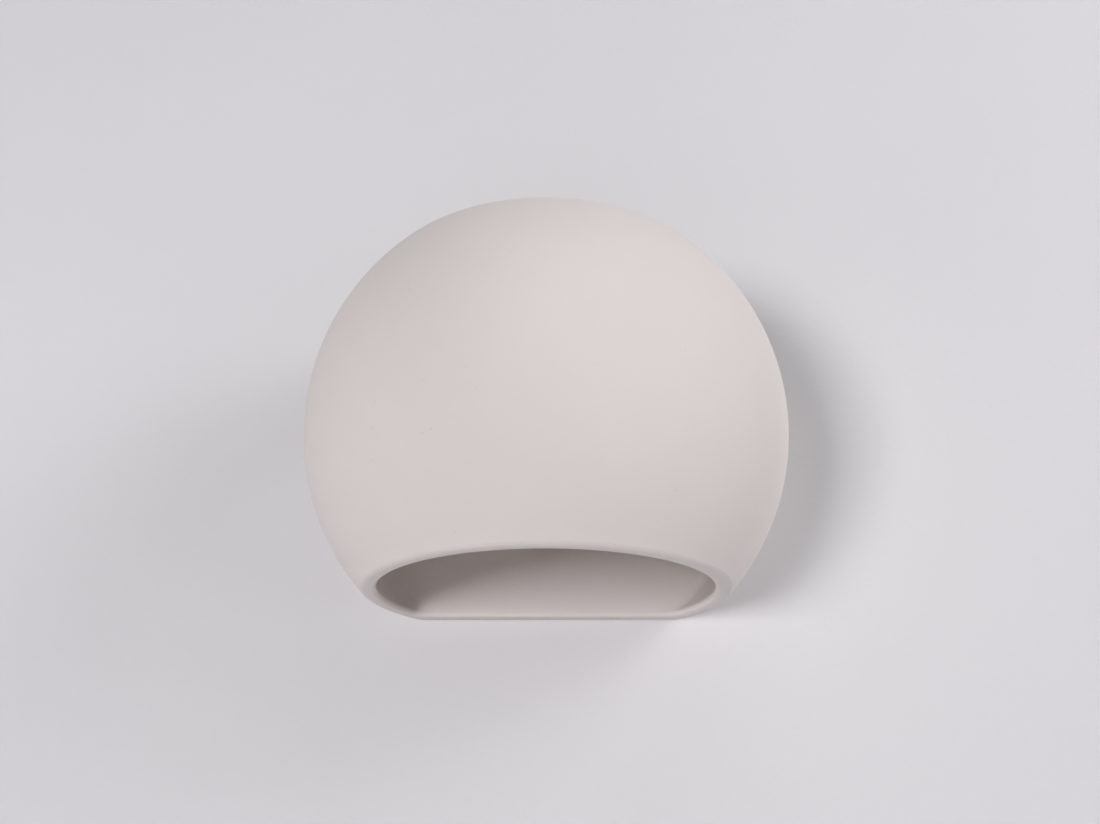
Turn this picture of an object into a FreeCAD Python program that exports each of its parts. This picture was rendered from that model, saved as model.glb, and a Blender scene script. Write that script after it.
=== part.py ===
import FreeCAD, Part
import math
import os

# Ball-shaped ceramic wall light, open above and below, on a steel wall bracket with a lampholder.
# Millimetres. +Z is up, X runs along the wall and -Y points out into the room.
# The origin lies on the wall, at the middle of the bracket. "Out" is a distance from the wall.

# ---- ceramic shade ----
globe_radius = 130.0
globe_out = 58.0              # ball centre in front of the wall
globe_half_height = 90.0      # level cuts above and below the ball centre
globe_wall = 7.0
back_slab = 10.0              # flat back that lies on the wall
lip_round_outer = 5.0
lip_round_inner = 2.0
back_edge_round = 1.5
inside_corner_round = 6.0     # hollow corner between ball and slab
window_clearance = 4.0        # the slab's opening passes over lamp, lampholder and leads
window_corner_round = 8.0
window_edge_round = 2.0
window_web = 6.5              # ceramic left between the window and each stud hole
stud_hole_radius = 3.5
pocket_play = 1.0             # free play round the strip, in the slab's rear pocket

# ---- clearances ----
seat_gap = 0.3                # between two pieces where one rests in the other
running_clearance = 0.05      # radial, between a thread's crest and its nut or hole
hole_clearance = 0.15         # radial, round a screw that passes through a plain hole

# ---- wall bracket ----
strip_half_width = 12.0
strip_end_margin = 8.0        # beyond each stud's middle
strip_thickness = 2.0
strip_corner_round = 5.0
wall_slot_pitch = 50.0
wall_slot_width = 5.0
wall_slot_length = 12.0
stud_radius = 2.0             # M4
stud_show = 3.5               # stud that stands out of its nut
stud_head_radius = 3.2
stud_head_thickness = 0.8
stud_thread_pitch = 0.7
stud_thread_depth = 0.35
stud_point = 0.5              # plain end past the last thread ring

# ---- fixing nuts and washers ----
fibre_washer_radius = 6.0
fibre_washer_thickness = 1.0
nut_grip_radius = 5.5
nut_grip_length = 4.5
nut_collar_radius = 4.0
nut_collar_length = 2.0
nut_chamfer = 0.5
nut_flutes = 20
flute_radius = 0.55

# ---- lampholder arm ----
arm_thickness = 1.5
arm_half_width = 13.0
arm_outer_x = -59.0           # outer face of the upright, on the left
arm_end_margin = 1.5          # foot beyond the connector's right ear
arm_bend_radius = 2.0         # inside the bend
arm_screw_offset = 7.0        # above and below the bracket's middle
m4_radius = 2.0
m4_head_radius = 3.6
m4_head_height = 2.6
driver_slot_share = 0.5       # of the head's height
driver_slot_width = 0.28      # of the head's radius
spring_washer_thickness = 0.9
spring_washer_radius = 3.5
washer_split = 0.8

# ---- cable entry and lead bush ----
grommet_x = -38.0
grommet_bore_radius = 4.0
grommet_neck_wall = 2.0
grommet_lip = 2.5
grommet_flange_thickness = 1.2
bush_out = 15.0
bush_z = -6.0
bush_play = 0.65              # round the pair of leads
bush_wall = 1.0
bush_lip = 1.6
bush_flange_thickness = 1.0

# ---- earth point ----
earth_x = -20.0
tag_thickness = 0.8
tag_radius = 4.4
tag_barrel_wall = 0.8
tag_barrel_start = 5.6        # below the screw
tag_barrel_length = 5.0
tag_grip = 4.0                # lead inside the barrel
cup_washer_thickness = 0.7
cup_washer_radius = 4.2
cup_washer_taper = 0.3

# ---- connector ----
block_x = 31.0
pole_pitch = 9.0
block_end_wall = 0.5          # beyond half a pitch past the end poles
block_side_wall = 1.0         # beyond the clamp tubes' ends
block_floor = 2.0             # under the clamp tubes
block_roof = 1.0              # over the clamp tubes
turret_wall = 1.35
turret_height = 4.5
turret_offset = 4.3
ear_radius = 4.0
ear_height = 3.0
ear_reach = 3.5               # ear screw beyond the block's end
clamp_bore_radius = 1.6
clamp_wall = 0.9
clamp_half_length = 7.5
block_bore_play = 0.1
clamp_screw_radius = 1.5
clamp_screw_head_radius = 1.9
clamp_screw_head_height = 1.8
clamp_screw_sink = 0.6        # head below its turret's rim
ear_screw_radius = 1.5
ear_screw_head_radius = 2.8
ear_screw_head_height = 1.8

# ---- leads ----
lead_radius = 1.1
conductor_radius = 0.6
lead_gap = 0.3                # between the two leads of the pair
lane_gap = 1.3                # between leads where they run side by side
lane_stagger = 1.5            # each lane bends this much further left than the last
first_lane_drop = 12.0        # below the clamp tubes' ends
lead_start_gap = 0.5          # insulation stops short of its clamp

# ---- lampholder, measured along the lamp axis from the arm's inner face ----
holder_length = 58.0
cap_radius = 19.0
cap_boss_radius = 9.0
cap_boss_length = 2.0
cap_neck_radius = 17.2
cap_neck_length = 6.0
cap_neck_wall = 2.0
cap_floor = 6.5
cap_cavity_radius = 11.5
nipple_radius = 5.0           # M10 x 1
nipple_pitch = 1.0
nipple_thread_depth = 0.45
nipple_bore_radius = 3.5
nipple_outside = 6.0          # nipple beyond the arm's inner face, on the outer side
locknut_flats = 14.0
locknut_thickness = 3.0
lock_washer_thickness = 0.9
lock_washer_radius = 8.0
insert_clearance = 0.3
insert_flange_thickness = 2.8
insert_boss_radius = 15.0
insert_boss_height = 3.5
recess_radius = 6.2
recess_depth = 4.3
skirt_radius = 20.0
skirt_mouth_radius = 19.2
skirt_fit = 0.2               # radial, over the cap's neck
skirt_bore_radius = 16.0
skirt_mouth_bore = 14.6
skirt_lip = 2.0
skirt_edge = 0.8
skirt_taper = 8.0             # length over which it narrows to its mouth
skirt_ribs = 28
rib_groove_radius = 0.9
terminal_half_width = 3.0
terminal_offset = 6.5
terminal_length = 5.0
terminal_bore_radius = 1.2
terminal_floor = 1.5          # brass behind the lead's bore
terminal_screw_radius = 1.25
terminal_screw_head_radius = 2.1
terminal_screw_head_height = 1.5
contact_thickness = 0.5
contact_half_width = 2.0

# ---- lamp: E27 cap, 60 mm bulb ----
lamp_radius = 30.0
lamp_length = 106.0
lamp_cap_length = 27.0
thread_pitch = 3.63
thread_crest_radius = 13.15
thread_root_radius = 12.1
plain_rim = 2.2               # least plain rim of the cap, past its thread
shell_thickness = 0.4
shell_turn_in = 1.3           # cap shell's lower edge, before its thread
sleeve_thickness = 0.45
sleeve_mouth = 1.4            # sleeve past its thread
tip_radius = 4.8
tip_height = 2.0
insulator_radius = 11.2
insulator_length = 5.2
cap_rim_radius = 13.2
neck_radius = 14.0
seam_step = 3.0               # globe's seam inside its largest radius
globe_thickness = 1.2
housing_wall = 2.2
board_depth = 2.0             # below the seam
board_step = 4.0              # board's rim inside the seam
board_thickness = 1.6
led_count = 10
led_size = 3.0
led_height = 0.8
led_inset = 8.0               # ring of light sources inside the board's rim

# ---- places that follow from the sizes above ----
full_turn = 360.0
diagonal = math.sqrt(0.5)
strip_face = strip_thickness                      # out, front of the strip
foot_face = strip_face + arm_thickness            # out, front of the arm's foot
holder_x = arm_outer_x + arm_thickness            # arm's inner face
lamp_axis_out = globe_out                         # the lamp lies through the ball's centre

lamp_seat = holder_length + seat_gap              # where the lamp's collar meets the holder's rim
tip_at = lamp_seat - lamp_cap_length
insert_front = tip_at + 1.0
insert_flange_end = insert_front - insert_boss_height
cap_neck_end = insert_flange_end - insert_flange_thickness
cap_body_end = cap_neck_end - cap_neck_length
cap_shoulder = cap_boss_length + cap_radius - cap_boss_radius
terminal_face = cap_body_end - terminal_length
recess_floor = insert_front - recess_depth
thread_start = tip_at + tip_height + insulator_length + shell_turn_in
thread_rings = int((lamp_seat - plain_rim - thread_start) / thread_pitch)
thread_end = thread_start + thread_rings * thread_pitch

lamp_tip = lamp_seat + lamp_length - lamp_cap_length
globe_centre = lamp_tip - lamp_radius
globe_seam_radius = lamp_radius - seam_step
globe_seam = globe_centre - math.sqrt(lamp_radius ** 2 - globe_seam_radius ** 2)
board_radius = globe_seam_radius - board_step

clamp_radius = clamp_bore_radius + clamp_wall
wire_out = foot_face + block_floor + clamp_radius
block_top = wire_out + clamp_radius + block_roof
turret_top = block_top + turret_height
turret_radius = clamp_screw_head_radius + hole_clearance + turret_wall
block_half_length = 1.5 * pole_pitch + block_end_wall
block_half_depth = clamp_half_length + block_side_wall
pole_x = [block_x + pole_pitch * step for step in (-1, 0, 1)]
arm_end_x = block_x + block_half_length + ear_reach + ear_radius + arm_end_margin

lead_pair_offset = lead_radius + lead_gap / 2     # each lead of the pair from their common middle
lane_spacing = 2 * lead_radius + lane_gap
first_lane_z = -clamp_half_length - lead_start_gap - first_lane_drop
lead_outside_x = arm_outer_x - nipple_outside - 9.0
bush_bore_radius = lead_pair_offset + lead_radius + bush_play
bush_hole_radius = bush_bore_radius + bush_wall
grommet_hole_radius = grommet_bore_radius + grommet_neck_wall
tag_barrel_radius = lead_radius + tag_barrel_wall

window_half_width = max(holder_x + lamp_tip, lead_radius - lead_outside_x) + window_clearance
window_half_height = lamp_radius + window_clearance
stud_z = window_half_height + window_web + stud_hole_radius
strip_half_length = stud_z + strip_end_margin
nut_from = back_slab + fibre_washer_thickness
grip_from = nut_from + nut_collar_length
nut_end = grip_from + nut_grip_length
stud_length = nut_end + stud_show

V = FreeCAD.Vector


def block(x_low, x_high, out_low, out_high, z_low, z_high):
    """Rectangular block between two distances from the wall."""
    size = (x_high - x_low, out_high - out_low, z_high - z_low)
    return Part.makeBox(*size, V(x_low, -out_high, z_low))


def rod(radius, start, end):
    """Round rod between two points."""
    along = end - start
    return Part.makeCylinder(radius, along.Length, start, along)


def face_through(points, place):
    """Closed face through the points in order. A pair of points is an arc, by the first to the second."""
    edges = []
    here = points[0]
    for step in points[1:] + points[:1]:
        if isinstance(step[0], tuple):
            through, there = step
            edges.append(Part.Arc(place(here), place(through), place(there)).toShape())
        else:
            there = step
            edges.append(Part.LineSegment(place(here), place(there)).toShape())
        here = there
    return Part.Face(Part.Wire(edges))


def from_other_end(points):
    """The same line of points and arcs, drawn backwards."""
    ends = [step[1] if isinstance(step[0], tuple) else step for step in points]
    path = [ends[-1]]
    for step, before in zip(reversed(points[1:]), reversed(ends[:-1])):
        path.append((step[0], before) if isinstance(step[0], tuple) else before)
    return path


def turned_on_lamp_axis(points):
    """Turned piece on the lamp's axis. Points are (distance from the arm's inner face, radius)."""
    def place(point):
        return V(holder_x + point[0], -lamp_axis_out, point[1])
    return face_through(points, place).revolve(V(0, -lamp_axis_out, 0), V(1, 0, 0), full_turn)


def turned_on_stud_axis(points, x, z):
    """Turned piece on an axis square to the wall. Points are (distance from the wall, radius)."""
    def place(point):
        return V(x + point[1], -point[0], z)
    return face_through(points, place).revolve(V(x, 0, z), V(0, 1, 0), full_turn)


def ring_thread(start, pitch, rings, root, crest):
    """Section of a rounded thread drawn as closed rings, as points and arcs from one end."""
    middle = (root + crest) / 2
    points = [(start, middle)]
    for ring in range(rings):
        ring_at = start + ring * pitch
        points.append(((ring_at + pitch / 4, crest), (ring_at + pitch / 2, middle)))
        points.append(((ring_at + 3 * pitch / 4, root), (ring_at + pitch, middle)))
    return points


def edges_where(shape, wanted):
    """Edges whose middle point passes the test."""
    found = []
    for edge in shape.Edges:
        middle = edge.valueAt((edge.FirstParameter + edge.LastParameter) / 2)
        if wanted(edge, middle):
            found.append(edge)
    return found


def is_level(edge, z):
    """True where the whole edge lies at one height."""
    box = edge.BoundBox
    return abs(box.ZMin - z) < 0.001 and abs(box.ZMax - z) < 0.001


def lies_out(edge, out):
    """True where the whole edge lies at one distance from the wall."""
    box = edge.BoundBox
    return abs(box.YMin + out) < 0.001 and abs(box.YMax + out) < 0.001


def compound(shapes):
    """Several separate solids as one shape."""
    return Part.makeCompound([solid for shape in shapes for solid in shape.Solids])


# ---- ceramic shade ----

def cut_ball():
    """Ball with level cuts above and below, rounded outer lips and the back cut off at the wall."""
    lip = lip_round_outer
    flat_radius = math.sqrt((globe_radius - lip) ** 2 - (globe_half_height - lip) ** 2)
    spread = globe_radius / (globe_radius - lip)
    touch = (flat_radius * spread, (globe_half_height - lip) * spread)
    lip_angle = (math.atan2(globe_half_height - lip, flat_radius) + math.pi / 2) / 2
    crown = (flat_radius + lip * math.cos(lip_angle), globe_half_height - lip + lip * math.sin(lip_angle))

    def place(point):
        return V(point[0], -globe_out, point[1])

    section = [
        (0, -globe_half_height),
        (flat_radius, -globe_half_height),
        ((crown[0], -crown[1]), (touch[0], -touch[1])),
        ((globe_radius, 0), touch),
        (crown, (flat_radius, globe_half_height)),
        (0, globe_half_height),
    ]
    ball = face_through(section, place).revolve(V(0, -globe_out, 0), V(0, 0, 1), full_turn)
    behind = block(-globe_radius, globe_radius, -2 * globe_radius, 0, -globe_radius, globe_radius)
    ball = ball.cut(behind)
    rear_edges = edges_where(ball, lambda edge, middle: lies_out(edge, 0))
    return ball.makeFillet(back_edge_round, rear_edges)


def ball_hollow():
    """The hollow inside the ball, in front of the slab, with its rear edge rounded."""
    radius = globe_radius - globe_wall
    hollow = Part.makeSphere(radius, V(0, -globe_out, 0))
    behind = block(-globe_radius, globe_radius, -2 * globe_radius, back_slab, -globe_radius, globe_radius)
    hollow = hollow.cut(behind)
    rear_edges = edges_where(hollow, lambda edge, middle: lies_out(edge, back_slab))
    return hollow.makeFillet(inside_corner_round, rear_edges)


def service_window():
    """The block of air through the slab, over lamp, lampholder and bracket."""
    hole = block(-window_half_width, window_half_width, -1, back_slab + 1,
                 -window_half_height, window_half_height)
    corners = edges_where(hole, lambda edge, middle: abs(middle.y + back_slab / 2) < 0.001)
    return hole.makeFillet(window_corner_round, corners)


def strip_pocket():
    """The shallow pocket in the slab's rear face that takes the bracket's strip."""
    half_width = strip_half_width + pocket_play
    half_length = strip_half_length + pocket_play
    return block(-half_width, half_width, -1, strip_thickness + seat_gap, -half_length, half_length)


def ceramic_shade():
    """Shell and slab in one casting: hollow, window, stud holes, strip pocket and softened lips."""
    shade = cut_ball().cut(ball_hollow())

    def on_inner_lip(edge, middle):
        level = is_level(edge, globe_half_height) or is_level(edge, -globe_half_height)
        from_centre = math.hypot(middle.x, middle.y + globe_out)
        opening = math.sqrt((globe_radius - globe_wall) ** 2 - globe_half_height ** 2)
        return level and middle.y < -back_slab + 0.01 and from_centre < opening + 0.5

    shade = shade.makeFillet(lip_round_inner, edges_where(shade, on_inner_lip))
    shade = shade.cut(service_window())

    def on_window_front(edge, middle):
        inside = abs(middle.x) < window_half_width + 0.01 and abs(middle.z) < window_half_height + 0.01
        return lies_out(edge, back_slab) and inside

    shade = shade.makeFillet(window_edge_round, edges_where(shade, on_window_front))
    shade = shade.cut(strip_pocket())
    for side in (-1, 1):
        axis_z = side * stud_z
        shade = shade.cut(rod(stud_hole_radius, V(0, 1, axis_z), V(0, -back_slab - 1, axis_z)))
    return shade


# ---- wall bracket ----

def slot_cut(centre_z):
    """Upright slot with round ends, through the strip."""
    radius = wall_slot_width / 2
    reach = wall_slot_length / 2 - radius
    ends = [V(0, 1, centre_z - reach), V(0, 1, centre_z + reach)]
    through = V(0, -strip_thickness - 1, 0) - V(0, 1, 0)
    cut = block(-radius, radius, -1, strip_thickness + 1, centre_z - reach, centre_z + reach)
    for end in ends:
        cut = cut.fuse(rod(radius, end, end + through))
    return cut.removeSplitter()


def wall_bracket_strip():
    """Upright steel strip with two wall slots, two clinched studs' seats and two tapped holes."""
    strip = block(-strip_half_width, strip_half_width, 0, strip_thickness,
                  -strip_half_length, strip_half_length)
    corners = edges_where(strip, lambda edge, middle: abs(middle.y + strip_thickness / 2) < 0.001)
    strip = strip.makeFillet(strip_corner_round, corners)
    for side in (-1, 1):
        strip = strip.cut(slot_cut(side * wall_slot_pitch / 2))
        strip = strip.cut(turned_on_stud_axis([
            (-1, 0),
            (-1, stud_head_radius),
            (stud_head_thickness, stud_head_radius),
            (stud_head_thickness, stud_radius + running_clearance),
            (strip_thickness + 1, stud_radius + running_clearance),
            (strip_thickness + 1, 0),
        ], 0, side * stud_z))
        tapped = m4_radius + running_clearance
        screw_z = side * arm_screw_offset
        strip = strip.cut(rod(tapped, V(0, 1, screw_z), V(0, -strip_thickness - 1, screw_z)))
    return strip


def fixing_stud(side):
    """Clinched stud: flat head let into the strip's back, shank through it, threaded end."""
    root = stud_radius - stud_thread_depth
    rings = round((stud_length - stud_point - back_slab) / stud_thread_pitch) + 1
    thread_from = stud_length - stud_point - rings * stud_thread_pitch
    thread = ring_thread(thread_from, stud_thread_pitch, rings, root, stud_radius)
    section = [
        (0, 0),
        (0, stud_head_radius - running_clearance),
        (stud_head_thickness, stud_head_radius - running_clearance),
        (stud_head_thickness, stud_radius),
        (thread_from - stud_thread_depth, stud_radius),
    ]
    section += thread + [(stud_length, root - stud_thread_depth / 2), (stud_length, 0)]
    return turned_on_stud_axis(section, 0, side * stud_z)


def fibre_washers():
    """Two soft washers between the nuts and the ceramic."""
    bore = stud_radius + hole_clearance
    washers = []
    for side in (-1, 1):
        washers.append(turned_on_stud_axis([
            (back_slab, bore),
            (back_slab, fibre_washer_radius),
            (nut_from, fibre_washer_radius),
            (nut_from, bore),
        ], 0, side * stud_z))
    return compound(washers)


def fixing_nut(side):
    """Knurled thumb nut: collar against the washer, fluted grip, chamfered bore."""
    bore = stud_radius + running_clearance
    chamfer = nut_chamfer
    axis_z = side * stud_z
    nut = turned_on_stud_axis([
        (nut_from, bore + chamfer),
        (nut_from, nut_collar_radius),
        (grip_from, nut_collar_radius),
        (grip_from, nut_grip_radius - chamfer),
        (grip_from + chamfer, nut_grip_radius),
        (nut_end - chamfer, nut_grip_radius),
        (nut_end, nut_grip_radius - chamfer),
        (nut_end, bore + chamfer),
        (nut_end - chamfer, bore),
        (nut_from + chamfer, bore),
    ], 0, axis_z)
    grooves = []
    for flute in range(nut_flutes):
        angle = 2 * math.pi * flute / nut_flutes
        x = nut_grip_radius * math.cos(angle)
        z = axis_z + nut_grip_radius * math.sin(angle)
        grooves.append(rod(flute_radius, V(x, -grip_from, z), V(x, -nut_end - 1, z)))
    return nut.cut(Part.makeCompound(grooves))


# ---- lampholder arm and its fasteners ----

def lampholder_arm():
    """Bent steel angle: foot along the strip, upright with a round end for the lampholder."""
    inner = arm_bend_radius
    outer = inner + arm_thickness
    centre = (holder_x + inner, foot_face + inner)

    def place(point):
        return V(point[0], -point[1], -arm_half_width)

    section = [
        (arm_end_x, strip_face),
        (centre[0], strip_face),
        ((centre[0] - outer * diagonal, centre[1] - outer * diagonal), (arm_outer_x, centre[1])),
        (arm_outer_x, lamp_axis_out + arm_half_width),
        (holder_x, lamp_axis_out + arm_half_width),
        (holder_x, centre[1]),
        ((centre[0] - inner * diagonal, centre[1] - inner * diagonal), (centre[0], foot_face)),
        (arm_end_x, foot_face),
    ]
    arm = face_through(section, place).extrude(V(0, 0, 2 * arm_half_width))
    arm = arm.makeFillet(arm_half_width - 0.01, edges_where(
        arm, lambda edge, middle: abs(middle.y + lamp_axis_out + arm_half_width) < 0.001
        and abs(middle.x - (arm_outer_x + holder_x) / 2) < 0.001))
    arm = arm.makeFillet(strip_corner_round, edges_where(
        arm, lambda edge, middle: abs(middle.x - arm_end_x) < 0.001
        and abs(middle.y + (strip_face + foot_face) / 2) < 0.001))
    across = V(3 * arm_thickness, 0, 0)
    for radius, out, z in ((nipple_radius + hole_clearance, lamp_axis_out, 0),
                           (bush_hole_radius, bush_out, bush_z)):
        start = V(arm_outer_x - arm_thickness, -out, z)
        arm = arm.cut(rod(radius, start, start + across))
    tapped = m4_radius + running_clearance
    holes = [(m4_radius + hole_clearance, 0, arm_screw_offset),
             (m4_radius + hole_clearance, 0, -arm_screw_offset),
             (tapped, earth_x, 0),
             (grommet_hole_radius, grommet_x, 0)]
    holes += [(ear_screw_radius + running_clearance, x, 0) for x in ear_screw_places()]
    for radius, x, z in holes:
        arm = arm.cut(rod(radius, V(x, 0, z), V(x, -foot_face - 1, z)))
    return arm


def slotted_screw(x, z, shank_end, head_from, shank_radius, head_radius, head_height):
    """Cheese-head screw square to the wall, its head slotted for a driver."""
    edge = head_height / 6
    screw = turned_on_stud_axis([
        (shank_end, 0),
        (shank_end, shank_radius - edge),
        (shank_end + edge, shank_radius),
        (head_from, shank_radius),
        (head_from, head_radius),
        (head_from + head_height - edge, head_radius),
        (head_from + head_height, head_radius - edge),
        (head_from + head_height, 0),
    ], x, z)
    slot_floor = head_from + head_height * (1 - driver_slot_share)
    half_slot = driver_slot_width * head_radius / 2
    slot = block(x - head_radius, x + head_radius, slot_floor, head_from + head_height + 1,
                 z - half_slot, z + half_slot)
    return screw.cut(slot)


def arm_screws():
    """Two screws that hold the arm's foot to the strip."""
    head_from = foot_face + spring_washer_thickness
    return compound([slotted_screw(0, side * arm_screw_offset, seat_gap / 2, head_from,
                                   m4_radius, m4_head_radius, m4_head_height) for side in (-1, 1)])


def split_ring(x, z, low, high, bore, radius):
    """Spring washer, split on its right side."""
    ring = turned_on_stud_axis([(low, bore), (low, radius), (high, radius), (high, bore)], x, z)
    gap = block(x, x + radius + 1, low - 1, high + 1, z - washer_split / 2, z + washer_split / 2)
    return ring.cut(gap)


def spring_washers():
    """Two split washers under the arm screws."""
    return compound([split_ring(0, side * arm_screw_offset, foot_face,
                                foot_face + spring_washer_thickness, m4_radius + hole_clearance,
                                spring_washer_radius) for side in (-1, 1)])


def cable_grommet():
    """Rubber grommet in the arm's foot, where the supply cable comes in from the wall."""
    rear = strip_face - grommet_flange_thickness
    front = foot_face + grommet_flange_thickness
    edge = grommet_flange_thickness / 2
    neck = grommet_hole_radius
    lip = neck + grommet_lip
    return turned_on_stud_axis([
        (rear, grommet_bore_radius),
        (rear, lip - edge),
        ((rear + edge * 0.3, lip - edge * 0.3), (rear + edge, lip)),
        (strip_face, lip),
        (strip_face, neck),
        (foot_face, neck),
        (foot_face, lip),
        (front - edge, lip),
        ((front - edge * 0.3, lip - edge * 0.3), (front, lip - edge)),
        (front, grommet_bore_radius),
    ], grommet_x, 0)


def lead_bush():
    """Small bush in the arm's upright that guards the pair of leads."""
    inner_flange = holder_x + bush_flange_thickness
    outer_flange = arm_outer_x - bush_flange_thickness
    start = V(outer_flange, -bush_out, bush_z)
    end = V(inner_flange, -bush_out, bush_z)
    bush = rod(bush_hole_radius, start, end)
    lip = bush_hole_radius + bush_lip
    bush = bush.fuse(rod(lip, start, V(arm_outer_x, -bush_out, bush_z)))
    bush = bush.fuse(rod(lip, V(holder_x, -bush_out, bush_z), end))
    return bush.cut(rod(bush_bore_radius, start - V(1, 0, 0), end + V(1, 0, 0))).removeSplitter()


# ---- earth point ----

def earth_ring_tag():
    """Crimped ring tag under the earth screw, its barrel pointing down."""
    top = foot_face + tag_thickness
    bore = m4_radius + hole_clearance
    ring = turned_on_stud_axis([(foot_face, 0), (foot_face, tag_radius), (top, tag_radius), (top, 0)],
                               earth_x, 0)
    tongue = block(earth_x - tag_barrel_radius, earth_x + tag_barrel_radius, foot_face, top,
                   -tag_barrel_start - 0.5, 0)
    axis_out = foot_face + tag_barrel_radius
    start = V(earth_x, -axis_out, -tag_barrel_start)
    end = V(earth_x, -axis_out, -tag_barrel_start - tag_barrel_length)
    tag = ring.fuse(tongue).fuse(rod(tag_barrel_radius, start, end))
    tag = tag.cut(rod(bore, V(earth_x, 0, 0), V(earth_x, -top - 1, 0)))
    below = V(0, 0, -1)
    return tag.cut(rod(lead_radius + running_clearance, start + below, end + below)).removeSplitter()


def earth_cup_washer():
    """Cupped washer between the earth screw's head and the ring tag."""
    low = foot_face + tag_thickness
    high = low + cup_washer_thickness
    bore = m4_radius + hole_clearance
    return turned_on_stud_axis([(low, bore), (low, cup_washer_radius),
                                (high, cup_washer_radius - cup_washer_taper), (high, bore)], earth_x, 0)


def earth_screw():
    """Screw that clamps the earth tag to the arm's foot."""
    head_from = foot_face + tag_thickness + cup_washer_thickness
    return slotted_screw(earth_x, 0, seat_gap, head_from, m4_radius, m4_head_radius, m4_head_height)


# ---- terminal block ----

def ear_screw_places():
    """The block's two fixing screws, left and right of its body."""
    reach = block_half_length + ear_reach
    return [block_x - reach, block_x + reach]


def turret_places():
    """The six clamping screws: two for each pole."""
    return [(x, side * turret_offset) for x in pole_x for side in (-1, 1)]


def terminal_housing():
    """Three-pole connector body: base, two fixing ears and six screw turrets, bored for the clamps."""
    housing = block(block_x - block_half_length, block_x + block_half_length, foot_face, block_top,
                    -block_half_depth, block_half_depth)
    ear_top = foot_face + ear_height
    for x in ear_screw_places():
        ear = rod(ear_radius, V(x, -foot_face, 0), V(x, -ear_top, 0))
        bridge = block(min(x, block_x), max(x, block_x), foot_face, ear_top, -ear_radius, ear_radius)
        housing = housing.fuse(ear).fuse(bridge)
    for x, z in turret_places():
        housing = housing.fuse(rod(turret_radius, V(x, -foot_face - 1, z), V(x, -turret_top, z)))
    housing = housing.removeSplitter()
    for x, z in turret_places():
        bore = clamp_screw_head_radius + hole_clearance
        housing = housing.cut(rod(bore, V(x, -wire_out, z), V(x, -turret_top - 1, z)))
    for x in pole_x:
        reach = V(0, 0, block_half_depth + 1)
        middle = V(x, -wire_out, 0)
        housing = housing.cut(rod(clamp_radius + block_bore_play, middle - reach, middle + reach))
    for x in ear_screw_places():
        housing = housing.cut(rod(ear_screw_radius + hole_clearance, V(x, 0, 0), V(x, -ear_top - 1, 0)))
    return housing


def terminal_clamps():
    """Three brass clamp tubes, each tapped from the front for its two screws."""
    clamps = []
    for x in pole_x:
        reach = V(0, 0, clamp_half_length)
        middle = V(x, -wire_out, 0)
        clamp = rod(clamp_radius, middle - reach, middle + reach)
        clamp = clamp.cut(rod(clamp_bore_radius, middle - reach * 2, middle + reach * 2))
        for side in (-1, 1):
            front = V(x, -wire_out - clamp_radius - 1, side * turret_offset)
            tapped = clamp_screw_radius + running_clearance
            clamp = clamp.cut(rod(tapped, V(x, -wire_out, side * turret_offset), front))
        clamps.append(clamp)
    return compound(clamps)


def terminal_screws():
    """Six clamping screws, each just short of the conductor that it holds."""
    tip = wire_out + conductor_radius + seat_gap
    head_from = turret_top - clamp_screw_head_height - clamp_screw_sink
    return compound([slotted_screw(x, z, tip, head_from, clamp_screw_radius, clamp_screw_head_radius,
                                   clamp_screw_head_height) for x, z in turret_places()])


def terminal_fixing_screws():
    """Two screws that hold the connector to the arm's foot."""
    head_from = foot_face + ear_height
    return compound([slotted_screw(x, 0, strip_face - 1, head_from, ear_screw_radius,
                                   ear_screw_head_radius, ear_screw_head_height)
                     for x in ear_screw_places()])


# ---- leads ----

def rounded_route(points):
    """Straight runs joined by tangent arcs, each as large as its two runs allow."""
    edges = []
    here = points[0]
    for before, corner, after in zip(points, points[1:], points[2:]):
        run_in = (corner - before).Length
        run_out = (after - corner).Length
        way_in = (corner - before).normalize()
        way_out = (after - corner).normalize()
        half_turn = way_in.getAngle(way_out) / 2
        trim = 0.45 * min(run_in, run_out)
        radius = trim / math.tan(half_turn)
        print("bend radius %.1f" % radius)
        arc_start = corner - way_in * trim
        arc_end = corner + way_out * trim
        inward = (way_out - way_in).normalize()
        arc_middle = corner + inward * (radius / math.cos(half_turn) - radius)
        edges.append(Part.LineSegment(here, arc_start).toShape())
        edges.append(Part.Arc(arc_start, arc_middle, arc_end).toShape())
        here = arc_end
    edges.append(Part.LineSegment(here, points[-1]).toShape())
    return Part.Wire(edges)


def lead(points, bare_start, bare_end):
    """Insulated lead along its route, with a bare conductor standing out at either end."""
    route = rounded_route(points)
    way_in = (points[1] - points[0]).normalize()
    way_out = (points[-1] - points[-2]).normalize()
    section = Part.Wire(Part.makeCircle(lead_radius, points[0], way_in))
    tube = route.makePipeShell([section], True, False)
    print("lead length %.1f, volume ratio %.4f" % (
        route.Length, tube.Volume / (math.pi * lead_radius ** 2 * route.Length)))
    if bare_start:
        tube = tube.fuse(rod(conductor_radius, points[0] - way_in * bare_start, points[0] + way_in))
    if bare_end:
        tube = tube.fuse(rod(conductor_radius, points[-1] - way_out, points[-1] + way_out * bare_end))
    return tube


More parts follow.
